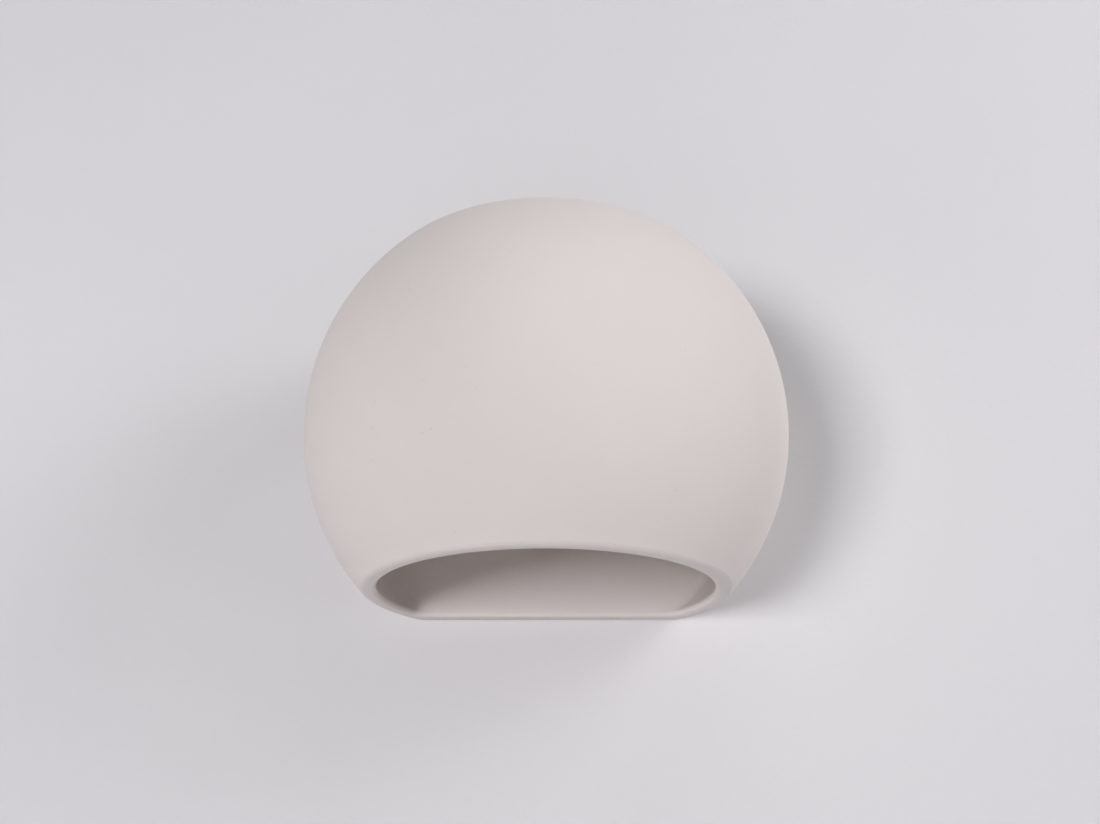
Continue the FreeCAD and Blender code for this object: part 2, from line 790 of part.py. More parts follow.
def supply_lead(pole, lane, side):
    """Lead from a pole of the connector, through the bush and the nipple, to the lampholder."""
    x = pole_x[pole]
    lane_z = first_lane_z - lane * lane_spacing
    lag = lane * lane_stagger
    shift = side * lead_pair_offset
    nipple_mouth_x = arm_outer_x - nipple_outside
    terminal_z = side * terminal_offset
    spread_start = cap_floor + seat_gap
    spread_end = (cap_floor + terminal_face) / 2
    axis_out = lamp_axis_out
    points = [
        V(x, -wire_out, -clamp_half_length - lead_start_gap),
        V(x, -wire_out, lane_z),
        V(earth_x - 11.0 - lag, -wire_out - 1.0, lane_z),
        V(grommet_x - 7.0 - lag, -bush_out, bush_z + shift),
        V(nipple_mouth_x - 5.0, -bush_out, bush_z + shift),
        V(lead_outside_x, -bush_out - 14.0, bush_z / 2 + shift),
        V(lead_outside_x, -axis_out + 9.0, shift),
        V(nipple_mouth_x - 2.0, -axis_out, shift),
        V(holder_x + spread_start, -axis_out, shift),
        V(holder_x + spread_end, -axis_out, terminal_z),
        V(holder_x + terminal_face + 1.0, -axis_out, terminal_z),
    ]
    return lead(points, clamp_half_length - 1.0, terminal_length - terminal_floor - 1.5)


def live_lead():
    """Brown lead, from the middle pole to the upper lampholder terminal."""
    return supply_lead(1, 1, 1)


def neutral_lead():
    """Blue lead, from the right pole to the lower lampholder terminal."""
    return supply_lead(2, 2, -1)


def earth_lead():
    """Green and yellow lead, from the left pole to the ring tag."""
    x = pole_x[0]
    barrel_out = foot_face + tag_barrel_radius
    barrel_end = -tag_barrel_start - tag_barrel_length
    points = [
        V(x, -wire_out, -clamp_half_length - lead_start_gap),
        V(x, -wire_out, first_lane_z),
        V(earth_x, -barrel_out, first_lane_z),
        V(earth_x, -barrel_out, barrel_end + tag_grip),
    ]
    return lead(points, clamp_half_length - 1.0, 0)


# ---- lampholder ----

def lampholder_nipple():
    """Hollow threaded nipple that joins the lampholder to the arm and carries the leads in."""
    outer_end = -nipple_outside
    inner_end = cap_floor - hole_clearance
    plain = nipple_pitch / 2
    rings = int((inner_end - outer_end - 2 * plain) / nipple_pitch)
    root = nipple_radius - nipple_thread_depth
    section = [(outer_end, nipple_bore_radius), (outer_end, root)]
    section += ring_thread(outer_end + plain, nipple_pitch, rings, root, nipple_radius)
    section += [(inner_end, root), (inner_end, nipple_bore_radius)]
    return turned_on_lamp_axis(section)


def nipple_lock_washer():
    """Split washer between the arm and the locknut."""
    outer = -arm_thickness
    inner = outer - lock_washer_thickness
    bore = nipple_radius + hole_clearance
    washer = turned_on_lamp_axis([(inner, bore), (inner, lock_washer_radius),
                                  (outer, lock_washer_radius), (outer, bore)])
    x = holder_x + inner
    gap = block(x - 1, x + 3 * lock_washer_thickness, lamp_axis_out, lamp_axis_out + lock_washer_radius + 1,
                -washer_split / 2, washer_split / 2)
    return washer.cut(gap)


def nipple_locknut():
    """Thin hexagon nut on the nipple, outside the arm."""
    outer = -arm_thickness - lock_washer_thickness - locknut_thickness
    corner_radius = locknut_flats / math.sqrt(3)
    corners = []
    for corner in range(6):
        angle = math.pi / 6 + corner * math.pi / 3
        corners.append(V(holder_x + outer, corner_radius * math.cos(angle) - lamp_axis_out,
                         corner_radius * math.sin(angle)))
    hexagon = Part.Face(Part.makePolygon(corners + corners[:1])).extrude(V(locknut_thickness, 0, 0))
    chamfered = turned_on_lamp_axis([
        (outer, nipple_radius + running_clearance),
        (outer, locknut_flats / 2),
        (outer + 1.0, corner_radius + 0.5),
        (outer + locknut_thickness, corner_radius + 0.5),
        (outer + locknut_thickness, nipple_radius + running_clearance),
    ])
    return hexagon.common(chamfered)


def lampholder_cap():
    """Domed rear part of the lampholder, with a tapped boss on the arm and a neck for the skirt."""
    shoulder = cap_shoulder - cap_boss_length
    neck_bore = cap_neck_radius - cap_neck_wall
    bore = nipple_radius + running_clearance
    return turned_on_lamp_axis([
        (0, bore),
        (0, cap_boss_radius),
        (cap_boss_length, cap_boss_radius),
        ((cap_shoulder - shoulder * diagonal, cap_boss_radius + shoulder * diagonal),
         (cap_shoulder, cap_radius)),
        (cap_body_end, cap_radius),
        (cap_body_end, cap_neck_radius),
        (cap_neck_end, cap_neck_radius),
        (cap_neck_end, neck_bore),
        (cap_shoulder, neck_bore),
        (cap_floor + 1.0, cap_cavity_radius),
        (cap_floor, cap_cavity_radius),
        (cap_floor, bore),
    ])


def lampholder_insert():
    """Porcelain inner part: seat for the thread sleeve, with a recess for the centre contact."""
    body_radius = cap_neck_radius - cap_neck_wall - insert_clearance
    return turned_on_lamp_axis([
        (cap_body_end, 0),
        (cap_body_end, body_radius),
        (cap_neck_end, body_radius),
        (cap_neck_end, cap_neck_radius),
        (insert_flange_end, cap_neck_radius),
        (insert_flange_end, insert_boss_radius),
        (insert_front, insert_boss_radius),
        (insert_front, recess_radius),
        (recess_floor, recess_radius),
        (recess_floor, 0),
    ])


def lampholder_skirt():
    """Ribbed outer sleeve that screws over the cap's neck and holds the insert in."""
    rear = cap_body_end + seat_gap
    bore = cap_neck_radius + skirt_fit
    shoulder = insert_flange_end + skirt_fit
    lip_from = holder_length - skirt_lip
    taper_from = holder_length - skirt_taper
    edge = skirt_edge
    skirt = turned_on_lamp_axis([
        (rear, bore),
        (rear, skirt_radius - edge),
        (rear + edge, skirt_radius),
        (taper_from, skirt_radius),
        (holder_length - edge, skirt_mouth_radius),
        (holder_length, skirt_mouth_radius - edge),
        (holder_length, skirt_mouth_bore),
        (lip_from, skirt_mouth_bore),
        (lip_from, skirt_bore_radius),
        (shoulder, skirt_bore_radius),
        (shoulder, bore),
    ])
    grooves = []
    groove_radius = skirt_radius + rib_groove_radius / 2
    for rib in range(skirt_ribs):
        angle = 2 * math.pi * rib / skirt_ribs
        y = groove_radius * math.cos(angle) - lamp_axis_out
        z = groove_radius * math.sin(angle)
        start = V(holder_x + rear + 2 * skirt_lip, y, z)
        grooves.append(rod(rib_groove_radius, start, V(holder_x + taper_from - skirt_lip, y, z)))
    return skirt.cut(Part.makeCompound(grooves))


def thread_sleeve():
    """Thin metal screw sleeve that takes the lamp's cap, with a flange on the insert."""
    play = seat_gap
    root = thread_root_radius + play
    crest = thread_crest_radius + play
    start = thread_start - thread_pitch
    rings = thread_rings + 1
    inside = ring_thread(start, thread_pitch, rings, root, crest)
    outside = ring_thread(start, thread_pitch, rings, root + sleeve_thickness, crest + sleeve_thickness)
    middle = (root + crest) / 2
    flange_radius = insert_boss_radius - insert_clearance
    mouth = thread_end + sleeve_mouth
    mouth_radius = crest + hole_clearance
    flare = thread_end + sleeve_mouth / 2
    section = [(insert_front, middle)] + inside
    section += [(flare, mouth_radius), (mouth, mouth_radius)]
    section += [(mouth, mouth_radius + sleeve_thickness), (flare, mouth_radius + sleeve_thickness)]
    section += from_other_end(outside)
    section += [(insert_front + sleeve_thickness, middle + sleeve_thickness)]
    section += [(insert_front + sleeve_thickness, flange_radius), (insert_front, flange_radius)]
    return turned_on_lamp_axis(section)


def centre_contact():
    """Spring tongue in the insert's recess, just under the tip of the lamp's cap."""
    def place(point):
        return V(holder_x + point[1], point[0] - lamp_axis_out, -contact_half_width)

    top = tip_at - seat_gap
    floor = recess_floor
    thick = contact_thickness
    section = [
        (-recess_radius + 1.0, floor),
        (-recess_radius + 1.0, floor + thick),
        (-2.6, floor + thick),
        (-0.8, top),
        (3.5, top),
        (3.5, top - thick),
        (-0.5, top - thick),
        (-2.3, floor),
    ]
    return face_through(section, place).extrude(V(0, 0, 2 * contact_half_width))


def side_contact():
    """Spring tongue that stands beside the insulator and bears on the lamp cap's lower edge."""
    def place(point):
        return V(holder_x + point[1], -lamp_axis_out - contact_half_width, point[0])

    outer = thread_root_radius + running_clearance
    inner = recess_radius + 1.3
    foot = insert_front
    top = thread_start - shell_turn_in - seat_gap
    thick = contact_thickness
    section = [
        (inner, foot),
        (outer, foot),
        (outer, top),
        (outer - thick, top),
        (outer - thick, foot + thick),
        (inner, foot + thick),
    ]
    return face_through(section, place).extrude(V(0, 2 * contact_half_width, 0))


def lampholder_terminals():
    """Two brass terminal blocks on the back of the insert, bored for the leads."""
    blocks = []
    front = cap_body_end
    rear = terminal_face
    half = terminal_half_width
    for side in (-1, 1):
        z = side * terminal_offset
        piece = block(holder_x + rear, holder_x + front, lamp_axis_out - half, lamp_axis_out + half,
                      z - half, z + half)
        bore = terminal_bore_radius
        start = V(holder_x + rear - 1, -lamp_axis_out, z)
        piece = piece.cut(rod(bore, start, V(holder_x + front - terminal_floor, -lamp_axis_out, z)))
        tapped = terminal_screw_radius + running_clearance
        screw_x = holder_x + (rear + front) / 2
        piece = piece.cut(rod(tapped, V(screw_x, -lamp_axis_out, z),
                              V(screw_x, -lamp_axis_out - half - 1, z)))
        blocks.append(piece)
    return compound(blocks)


def lampholder_terminal_screws():
    """Two small screws that clamp the leads in the lampholder's terminals."""
    screw_x = holder_x + cap_body_end - terminal_length / 2
    tip = lamp_axis_out + conductor_radius + seat_gap
    head_from = lamp_axis_out + terminal_half_width
    return compound([slotted_screw(screw_x, side * terminal_offset, tip, head_from,
                                   terminal_screw_radius, terminal_screw_head_radius,
                                   terminal_screw_head_height) for side in (-1, 1)])


# ---- lamp ----

def lamp_cap_contact():
    """Domed tip of the lamp's cap."""
    end = tip_at + tip_height
    edge = tip_height * 0.75
    return turned_on_lamp_axis([
        (tip_at, 0),
        (tip_at, tip_radius - edge),
        ((tip_at + edge * (1 - diagonal), tip_radius - edge * (1 - diagonal)), (tip_at + edge, tip_radius)),
        (end, tip_radius),
        (end, 0),
    ])


def lamp_cap_insulator():
    """Dark glass cone between the tip and the screw shell."""
    start = tip_at + tip_height
    end = start + insulator_length
    return turned_on_lamp_axis([
        (start, 0),
        (start, tip_radius + 0.4),
        ((start + insulator_length * 0.45, insulator_radius * 0.78), (end, insulator_radius)),
        (end + shell_turn_in, insulator_radius),
        (end + shell_turn_in, 0),
    ])


def lamp_cap_shell():
    """Screw shell of the lamp's cap, turned in round the insulator, with a plain rim."""
    outside = ring_thread(thread_start, thread_pitch, thread_rings, thread_root_radius, thread_crest_radius)
    inner_root = thread_root_radius - shell_thickness
    inner_crest = thread_crest_radius - shell_thickness
    inside = ring_thread(thread_start, thread_pitch, thread_rings, inner_root, inner_crest)
    lower = thread_start - shell_turn_in
    rim = cap_rim_radius
    section = [(lower, insulator_radius), (lower, insulator_radius + shell_thickness)]
    section += outside
    section += [(thread_end + 0.6, rim), (lamp_seat, rim), (lamp_seat, rim - shell_thickness),
                (thread_end + 0.8, rim - shell_thickness)]
    section += from_other_end(inside)
    section += [(lower + 0.5, insulator_radius)]
    return turned_on_lamp_axis(section)


def lamp_housing():
    """Tapered plastic housing, its neck inside the cap's shell, open under the board."""
    neck = thread_root_radius - shell_thickness - seat_gap
    neck_from = thread_start + 1.5
    taper = globe_seam - lamp_seat
    waist_radius = globe_seam_radius - 5.5
    throat = (lamp_seat + taper * 0.25, neck_radius + 1.3)
    waist = (lamp_seat + taper * 0.61, waist_radius)
    shoulder = (lamp_seat + taper * 0.83, globe_seam_radius - 1.9)
    wall = housing_wall
    board_seat = globe_seam - board_depth
    return turned_on_lamp_axis([
        (neck_from, neck - wall),
        (neck_from, neck),
        (lamp_seat, neck),
        (lamp_seat, neck_radius),
        (lamp_seat + 2.0, neck_radius),
        (throat, waist),
        (shoulder, (globe_seam, globe_seam_radius)),
        (globe_seam, globe_seam_radius - wall),
        (board_seat, globe_seam_radius - wall),
        (board_seat, board_radius - wall),
        (waist[0], waist_radius - 1.4 * wall),
        (lamp_seat + 4.0, neck - wall),
    ])


def lamp_board():
    """Round board that closes the housing and carries a ring of light sources."""
    seat = globe_seam - board_depth
    board = turned_on_lamp_axis([(seat, 0), (seat, board_radius), (seat + board_thickness, board_radius),
                                 (seat + board_thickness, 0)])
    half = led_size / 2
    for step in range(led_count):
        angle = 2 * math.pi * step / led_count
        y = (board_radius - led_inset) * math.cos(angle)
        z = (board_radius - led_inset) * math.sin(angle)
        x = holder_x + seat + board_thickness
        board = board.fuse(block(x, x + led_height, lamp_axis_out - y - half, lamp_axis_out - y + half,
                                 z - half, z + half))
    return board


def lamp_globe():
    """Opal bulb: a thin dome that closes the lamp, from the housing's seam to the far end."""
    inner_radius = lamp_radius - globe_thickness
    seam_inner = globe_seam_radius - globe_thickness
    inner_start = globe_centre - math.sqrt(inner_radius ** 2 - seam_inner ** 2)
    return turned_on_lamp_axis([
        (globe_seam, seam_inner),
        (globe_seam, globe_seam_radius),
        ((globe_centre, lamp_radius), (globe_centre + lamp_radius * diagonal, lamp_radius * diagonal)),
        ((globe_centre + lamp_radius * math.cos(math.pi / 8), lamp_radius * math.sin(math.pi / 8)),
         (lamp_tip, 0)),
        (lamp_tip - globe_thickness, 0),
        ((globe_centre + inner_radius * math.cos(math.pi / 8), inner_radius * math.sin(math.pi / 8)),
         (globe_centre + inner_radius * diagonal, inner_radius * diagonal)),
        ((globe_centre, inner_radius), (inner_start, seam_inner)),
    ])


def build():
    """Every piece, by node name."""
    return {
        "ceramic_shade": ceramic_shade(),
        "fibre_washers": fibre_washers(),
        "fixing_nut_upper": fixing_nut(1),
        "fixing_nut_lower": fixing_nut(-1),
        "wall_bracket_strip": wall_bracket_strip(),
        "fixing_stud_upper": fixing_stud(1),
        "fixing_stud_lower": fixing_stud(-1),
        "lampholder_arm": lampholder_arm(),
        "arm_screws": arm_screws(),
        "spring_washers": spring_washers(),
        "cable_grommet": cable_grommet(),
        "lead_bush": lead_bush(),
        "earth_screw": earth_screw(),
        "earth_cup_washer": earth_cup_washer(),
        "earth_ring_tag": earth_ring_tag(),
        "terminal_housing": terminal_housing(),
        "terminal_clamps": terminal_clamps(),
        "terminal_screws": terminal_screws(),
        "terminal_fixing_screws": terminal_fixing_screws(),
        "live_lead": live_lead(),
        "neutral_lead": neutral_lead(),
        "earth_lead": earth_lead(),
        "lampholder_nipple": lampholder_nipple(),
        "nipple_lock_washer": nipple_lock_washer(),
        "nipple_locknut": nipple_locknut(),
        "lampholder_cap": lampholder_cap(),
        "lampholder_insert": lampholder_insert(),
        "lampholder_skirt": lampholder_skirt(),
        "lampholder_terminals": lampholder_terminals(),
        "lampholder_terminal_screws": lampholder_terminal_screws(),
        "thread_sleeve": thread_sleeve(),
        "centre_contact": centre_contact(),
        "side_contact": side_contact(),
        "lamp_globe": lamp_globe(),
        "lamp_board": lamp_board(),
        "lamp_housing": lamp_housing(),
        "lamp_cap_shell": lamp_cap_shell(),
        "lamp_cap_insulator": lamp_cap_insulator(),
        "lamp_cap_contact": lamp_cap_contact(),
    }


os.makedirs("parts", exist_ok=True)
for name, shape in build().items():
    print("%-28s %2d solids, volume %10.1f, valid %s" % (
        name, len(shape.Solids), shape.Volume, shape.isValid()))
    shape.exportStep("parts/" + name + ".step")
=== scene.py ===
"""Looks of a ball-shaped ceramic wall light: its finishes, its threaded studs, the wall and the lighting.

All sizes are in metres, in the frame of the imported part. +Z is up, X runs along the wall and -Y is out into
the room.
"""

import logging
import math
from dataclasses import dataclass
from enum import Enum
from functools import lru_cache
from typing import Optional, Union

import bmesh
import bpy
from mathutils import Matrix, Vector


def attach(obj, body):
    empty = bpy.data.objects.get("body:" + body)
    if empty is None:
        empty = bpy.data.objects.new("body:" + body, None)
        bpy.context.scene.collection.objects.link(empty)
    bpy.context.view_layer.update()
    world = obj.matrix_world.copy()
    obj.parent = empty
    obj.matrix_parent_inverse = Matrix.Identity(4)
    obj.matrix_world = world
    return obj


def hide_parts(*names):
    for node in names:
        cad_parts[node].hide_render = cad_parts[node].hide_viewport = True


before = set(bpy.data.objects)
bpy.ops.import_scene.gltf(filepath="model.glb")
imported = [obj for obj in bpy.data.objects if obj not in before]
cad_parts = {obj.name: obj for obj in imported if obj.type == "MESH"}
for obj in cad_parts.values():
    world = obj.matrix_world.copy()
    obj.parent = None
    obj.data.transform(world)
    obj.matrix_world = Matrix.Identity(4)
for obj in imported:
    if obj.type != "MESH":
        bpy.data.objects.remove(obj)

logging.basicConfig(level=logging.INFO, format="%(message)s")
report = logging.getLogger("wall_light")

Colour = tuple[float, float, float, float]
Point = tuple[float, float, float]
Size = tuple[float, float]

YELLOW_BRASS: Colour = (0.80, 0.60, 0.28, 1.0)
ZINC: Colour = (0.70, 0.71, 0.73, 1.0)


class Axis(Enum):
    """The three directions of the light, as places in a point."""

    ALONG_WALL = 0
    OUT_OF_WALL = 1
    UPRIGHT = 2


# ---- shader expressions ----

class Value:
    """A number that changes over a surface. Python's arithmetic on it adds Math nodes."""

    def __init__(self, graph: "Graph", socket: bpy.types.NodeSocket) -> None:
        """Wraps one output socket of a graph."""
        self.graph = graph
        self.socket = socket

    def __add__(self, other: "Term") -> "Value":
        """Sum."""
        return self.graph.maths("ADD", self, other)

    def __radd__(self, other: "Term") -> "Value":
        """Sum with a number on the left."""
        return self.graph.maths("ADD", other, self)

    def __sub__(self, other: "Term") -> "Value":
        """Difference."""
        return self.graph.maths("SUBTRACT", self, other)

    def __rsub__(self, other: "Term") -> "Value":
        """Difference from a number on the left."""
        return self.graph.maths("SUBTRACT", other, self)

    def __mul__(self, other: "Term") -> "Value":
        """Product."""
        return self.graph.maths("MULTIPLY", self, other)

    def __rmul__(self, other: "Term") -> "Value":
        """Product with a number on the left."""
        return self.graph.maths("MULTIPLY", other, self)

    def __truediv__(self, other: "Term") -> "Value":
        """Quotient."""
        return self.graph.maths("DIVIDE", self, other)

    def __rtruediv__(self, other: "Term") -> "Value":
        """Quotient of a number on the left."""
        return self.graph.maths("DIVIDE", other, self)

    def __pow__(self, other: "Term") -> "Value":
        """Power."""
        return self.graph.maths("POWER", self, other)

    def __gt__(self, other: "Term") -> "Value":
        """One where the value is greater, and zero elsewhere."""
        return self.graph.maths("GREATER_THAN", self, other)

    def __lt__(self, other: "Term") -> "Value":
        """One where the value is less, and zero elsewhere."""
        return self.graph.maths("LESS_THAN", self, other)

    def __abs__(self) -> "Value":
        """Size without its sign."""
        return self.graph.maths("ABSOLUTE", self)

    def most(self, other: "Term") -> "Value":
        """The greater of two values."""
        return self.graph.maths("MAXIMUM", self, other)

    def rise(self, low: float, high: float) -> "Value":
        """Soft step.

        Args:
            low: where the step starts.
            high: where it ends; below low, the step goes down.

        Returns:
            A value from 0, at low, to 1, at high.
        """
        step = self.graph.node(
            "ShaderNodeMapRange",
            {"interpolation_type": "SMOOTHSTEP"},
            {"Value": self, "From Min": low, "From Max": high},
        )
        return Value(self.graph, step.outputs["Result"])


Term = Union[Value, float]
Paint = Union[Colour, bpy.types.NodeSocket]


class Graph:
    """The node tree of one material."""

    def __init__(self, name: str) -> None:
        """Starts an empty material."""
        self.material = bpy.data.materials.new(name)
        self.material.use_nodes = True
        self.material.node_tree.nodes.clear()
        self._object_place: Optional[bpy.types.NodeSocket] = None

    def node(
        self, kind: str, settings: Optional[dict] = None, sockets: Optional[dict] = None
    ) -> bpy.types.Node:
        """Adds a node.

        Args:
            kind: the node's type.
            settings: its properties, set first; "stops" are a ramp's places and colours.
            sockets: values, links or constants for its inputs, by name or number.

        Returns:
            The new node.
        """
        node = self.material.node_tree.nodes.new(kind)
        for name, setting in (settings or {}).items():
            if name == "stops":
                self._set_stops(node.color_ramp, setting)
            else:
                setattr(node, name, setting)
        for name, content in (sockets or {}).items():
            source = content.socket if isinstance(content, Value) else content
            if isinstance(source, bpy.types.NodeSocket):
                self.material.node_tree.links.new(source, node.inputs[name])
            else:
                node.inputs[name].default_value = source
        return node

    @staticmethod
    def _set_stops(ramp: bpy.types.ColorRamp, stops: list[tuple[float, Colour]]) -> None:
        """Gives a ramp its stops.

        Args:
            ramp: the ramp, as Blender makes it with two stops.
            stops: places from 0 to 1 and their colours, in order.
        """
        while len(ramp.elements) < len(stops):
            ramp.elements.new(1.0)
        for element, (place, colour) in zip(ramp.elements, stops):
            element.position = place
            element.color = colour

    def maths(self, operation: str, *terms: Term) -> Value:
        """Adds one Math node.

        Args:
            operation: what it does.
            terms: its inputs in order.

        Returns:
            Its result.
        """
        node = self.node("ShaderNodeMath", {"operation": operation}, dict(enumerate(terms)))
        return Value(self, node.outputs["Value"])

    def place(self) -> bpy.types.NodeSocket:
        """Place on the piece, in metres."""
        if self._object_place is None:
            self._object_place = self.node("ShaderNodeTexCoord").outputs["Object"]
        return self._object_place

    def axes(self) -> tuple[Value, Value, Value]:
        """Place on the piece as its three coordinates."""
        split = self.node("ShaderNodeSeparateXYZ", sockets={"Vector": self.place()})
        return tuple(Value(self, split.outputs[name]) for name in "XYZ")

    def point(self, *terms: Term) -> bpy.types.NodeSocket:
        """Joins three values into a place that a texture can read."""
        return self.node("ShaderNodeCombineXYZ", sockets=dict(enumerate(terms))).outputs["Vector"]

    def noise(
        self, scale: float, detail: float = 2.0, at: Optional[bpy.types.NodeSocket] = None, twist: float = 0.0
    ) -> Value:
        """Cloudy pattern.

        Args:
            scale: clouds per metre.
            detail: finer layers on top of the clouds.
            at: place that it is read at, instead of the place on the piece.
            twist: how much it is distorted.

        Returns:
            A value round 0.5.
        """
        sockets = {"Vector": at or self.place(), "Scale": scale, "Detail": detail, "Distortion": twist}
        return Value(self, self.node("ShaderNodeTexNoise", sockets=sockets).outputs["Fac"])

    def dots(self, scale: float, size: float, share: float = 1.0) -> Value:
        """Scattered soft dots.

        Args:
            scale: cells per metre, with one dot in each.
            size: radius of a dot as a part of its cell.
            share: part of the cells that keep their dot.

        Returns:
            One at the middle of a dot, zero between dots.
        """
        cells = self.node("ShaderNodeTexVoronoi", sockets={"Vector": self.place(), "Scale": scale})
        split = self.node("ShaderNodeSeparateColor", sockets={"Color": cells.outputs["Color"]})
        kept = Value(self, split.outputs["Red"]) < share
        return Value(self, cells.outputs["Distance"]).rise(size, 0.2 * size) * kept

    def mix(self, share: Term, first: Paint, second: Paint, way: str = "MIX") -> bpy.types.NodeSocket:
        """Mixes two colours.

        Args:
            share: how much of the second colour.
            first: the colour below.
            second: the colour above.
            way: how they mix.

        Returns:
            The mixed colour.
        """
        settings = {"data_type": "RGBA", "blend_type": way}
        return self.node("ShaderNodeMix", settings, {0: share, 6: first, 7: second}).outputs[2]

    def relief(self, height: Value) -> bpy.types.NodeSocket:
        """Turns a height in metres into the surface's normal."""
        return self.node("ShaderNodeBump", sockets={"Distance": 1.0, "Height": height}).outputs["Normal"]

    def surface(self, **sockets: Union[Term, Paint]) -> bpy.types.Node:
        """Adds the Principled shader.

        Args:
            sockets: its inputs, with _ for each space in their names.

        Returns:
            The shader's node, not yet joined to the output.
        """
        named = {name.replace("_", " "): content for name, content in sockets.items()}
        return self.node("ShaderNodeBsdfPrincipled", sockets=named)

    def close(self, shader: bpy.types.Node) -> None:
        """Joins the last shader to the material's output."""
        self.node("ShaderNodeOutputMaterial", sockets={"Surface": shader.outputs[0]})


def toned(colour: Colour, share: float) -> Colour:
    """The same colour, lighter or darker by a share of itself."""
    return tuple(part * share for part in colour[:3]) + (1.0,)


# ---- finishes ----

@dataclass(frozen=True)
class Finish:
    """A finish that pieces can share. The slot is the one that the record lists it under."""

    name: str
    slot: str
    colour: Colour

    def paint(self, graph: Graph) -> None:
        """Lays down the finish's nodes."""
        raise NotImplementedError


@lru_cache(maxsize=None)
def material_of(finish: Finish) -> bpy.types.Material:
    """The material of a finish, made once."""
    graph = Graph(finish.name)
    finish.paint(graph)
    return graph.material


@dataclass(frozen=True)
class BisqueCeramic(Finish):
    """Unglazed ceramic out of a plaster mould: fine grain, faint clouds, pinholes with painted shade in them,
    sponged rims, and painted shade deep inside the hollow.
    """

    ball_middle: Point = (0.0, -0.058, 0.0)
    outer_radius: float = 0.130
    wall: float = 0.007
    rim_height: float = 0.090
    # Darker, warmer colour painted on the inner shell as shade, where little light reaches.
    painted_shade_inside_colour: Colour = (0.665, 0.565, 0.505, 1.0)
    slab_front: float = -0.013
    # Heights (|z|) over which the painted shade inside fades out towards the rims: full below the second,
    # gone above the first.
    painted_shade_fades_out: Size = (0.078, 0.052)

    def paint(self, graph: Graph) -> None:
        """Lays down grain, clouds, pinholes, the painted shade deep inside the shell and the sponged rims."""
        x, y, z = graph.axes()
        from_middle = ((x * x) + (y - self.ball_middle[1]) ** 2.0 + (z * z)) ** 0.5
        inside = from_middle.rise(self.outer_radius - 0.4 * self.wall, self.outer_radius - 0.8 * self.wall)
        rim = abs(z).rise(self.rim_height - 0.007, self.rim_height - 0.001)
        clouds = graph.noise(9.0, 3.0).rise(0.32, 0.68)
        patches = graph.noise(55.0, 4.0, twist=0.6).rise(0.35, 0.70)
        grain = graph.noise(1500.0, 3.0)
        pinholes = graph.dots(210.0, 0.10, 0.22)
        specks = graph.dots(120.0, 0.06, 0.10)
        crumbs = graph.dots(150.0, 0.085, 0.16) * inside
        # Painted shade: the inner shell, away from the rims and off the slab, is given a darker, warmer
        # colour.
        painted_shade_deep = abs(z).rise(*self.painted_shade_fades_out)
        painted_shade_inside = inside * (y < self.slab_front) * painted_shade_deep
        drag = graph.noise(1.0, 3.0, graph.point(x * 900.0, y * 900.0, z * 60.0)).rise(0.66, 0.80) * inside

        colour = graph.mix(clouds, toned(self.colour, 0.982), toned(self.colour, 1.008))
        colour = graph.mix(patches * 0.35, colour, toned(self.colour, 0.972))
        colour = graph.mix(painted_shade_inside, colour, self.painted_shade_inside_colour)
        colour = graph.mix(rim * 0.5, colour, toned(self.colour, 1.03))
        colour = graph.mix(inside * drag * 0.25, colour, toned(self.colour, 0.90))
        # The pits are painted darker, as painted shade in them; the bump below also sinks them.
        colour = graph.mix(pinholes * 0.45, colour, toned(self.colour, 0.62))
        colour = graph.mix(specks * 0.35, colour, (0.40, 0.31, 0.24, 1.0))
        colour = graph.mix(crumbs * 0.6, colour, (0.86, 0.82, 0.78, 1.0))

        smoothing = 1.0 - rim * 0.6
        height = (grain - 0.5) * 0.000035 * smoothing + graph.noise(16.0, 1.0) * 0.0005
        height = height + graph.noise(140.0, 2.0) * 0.00004 - pinholes * 0.00012 - drag * 0.00002
        roughness = 0.82 + (grain - 0.5) * 0.16 - rim * 0.10 + pinholes * 0.10
        graph.close(graph.surface(Base_Color=colour, Roughness=roughness, Normal=graph.relief(height),
                                  Specular_IOR_Level=0.30))


@dataclass(frozen=True)
class RolledZinc(Finish):
    """Zinc-plated strip steel: rolling lines, spangled haze, faint blue and straw tints."""

    def paint(self, graph: Graph) -> None:
        """Lays down the rolling lines along the strip and the plating's haze."""
        x, y, z = graph.axes()
        lines = graph.noise(1.0, 3.0, graph.point((x - y) * 25.0, y * 0.0, z * 2600.0))
        haze = graph.noise(70.0, 4.0, twist=0.8).rise(0.30, 0.70)
        tint = graph.noise(32.0, 1.0).rise(0.35, 0.65)
        stains = graph.dots(190.0, 0.22, 0.10)
        colour = graph.mix(tint, (0.60, 0.63, 0.70, 1.0), (0.71, 0.69, 0.62, 1.0))
        colour = graph.mix(0.55, colour, self.colour)
        colour = graph.mix(haze * 0.30, colour, toned(self.colour, 0.80))
        colour = graph.mix(stains * 0.35, colour, (0.82, 0.83, 0.84, 1.0))
        roughness = 0.34 + haze * 0.14 + (lines - 0.5) * 0.22 + stains * 0.2
        height = (lines - 0.5) * 0.000012 + graph.noise(600.0) * 0.000006
        graph.close(graph.surface(Base_Color=colour, Metallic=1.0, Roughness=roughness,
                                  Normal=graph.relief(height)))


@dataclass(frozen=True)
class BrightZinc(Finish):
    """Bright zinc plate on small steel fasteners: bluish, with scuffs from the tumbler."""

    def paint(self, graph: Graph) -> None:
        """Lays down the tints and scuffs."""
        tint = graph.noise(260.0, 2.0).rise(0.35, 0.65)
        scuffs = graph.noise(1800.0, 4.0, twist=1.5).rise(0.52, 0.66)
        colour = graph.mix(tint, (0.64, 0.68, 0.76, 1.0), (0.76, 0.75, 0.70, 1.0))
        colour = graph.mix(scuffs * 0.35, colour, toned(self.colour, 0.72))
        height = (graph.noise(2600.0, 3.0) - 0.5) * 0.000010 - scuffs * 0.000006
        graph.close(graph.surface(Base_Color=colour, Metallic=1.0, Roughness=0.24 + scuffs * 0.22,
                                  Normal=graph.relief(height)))


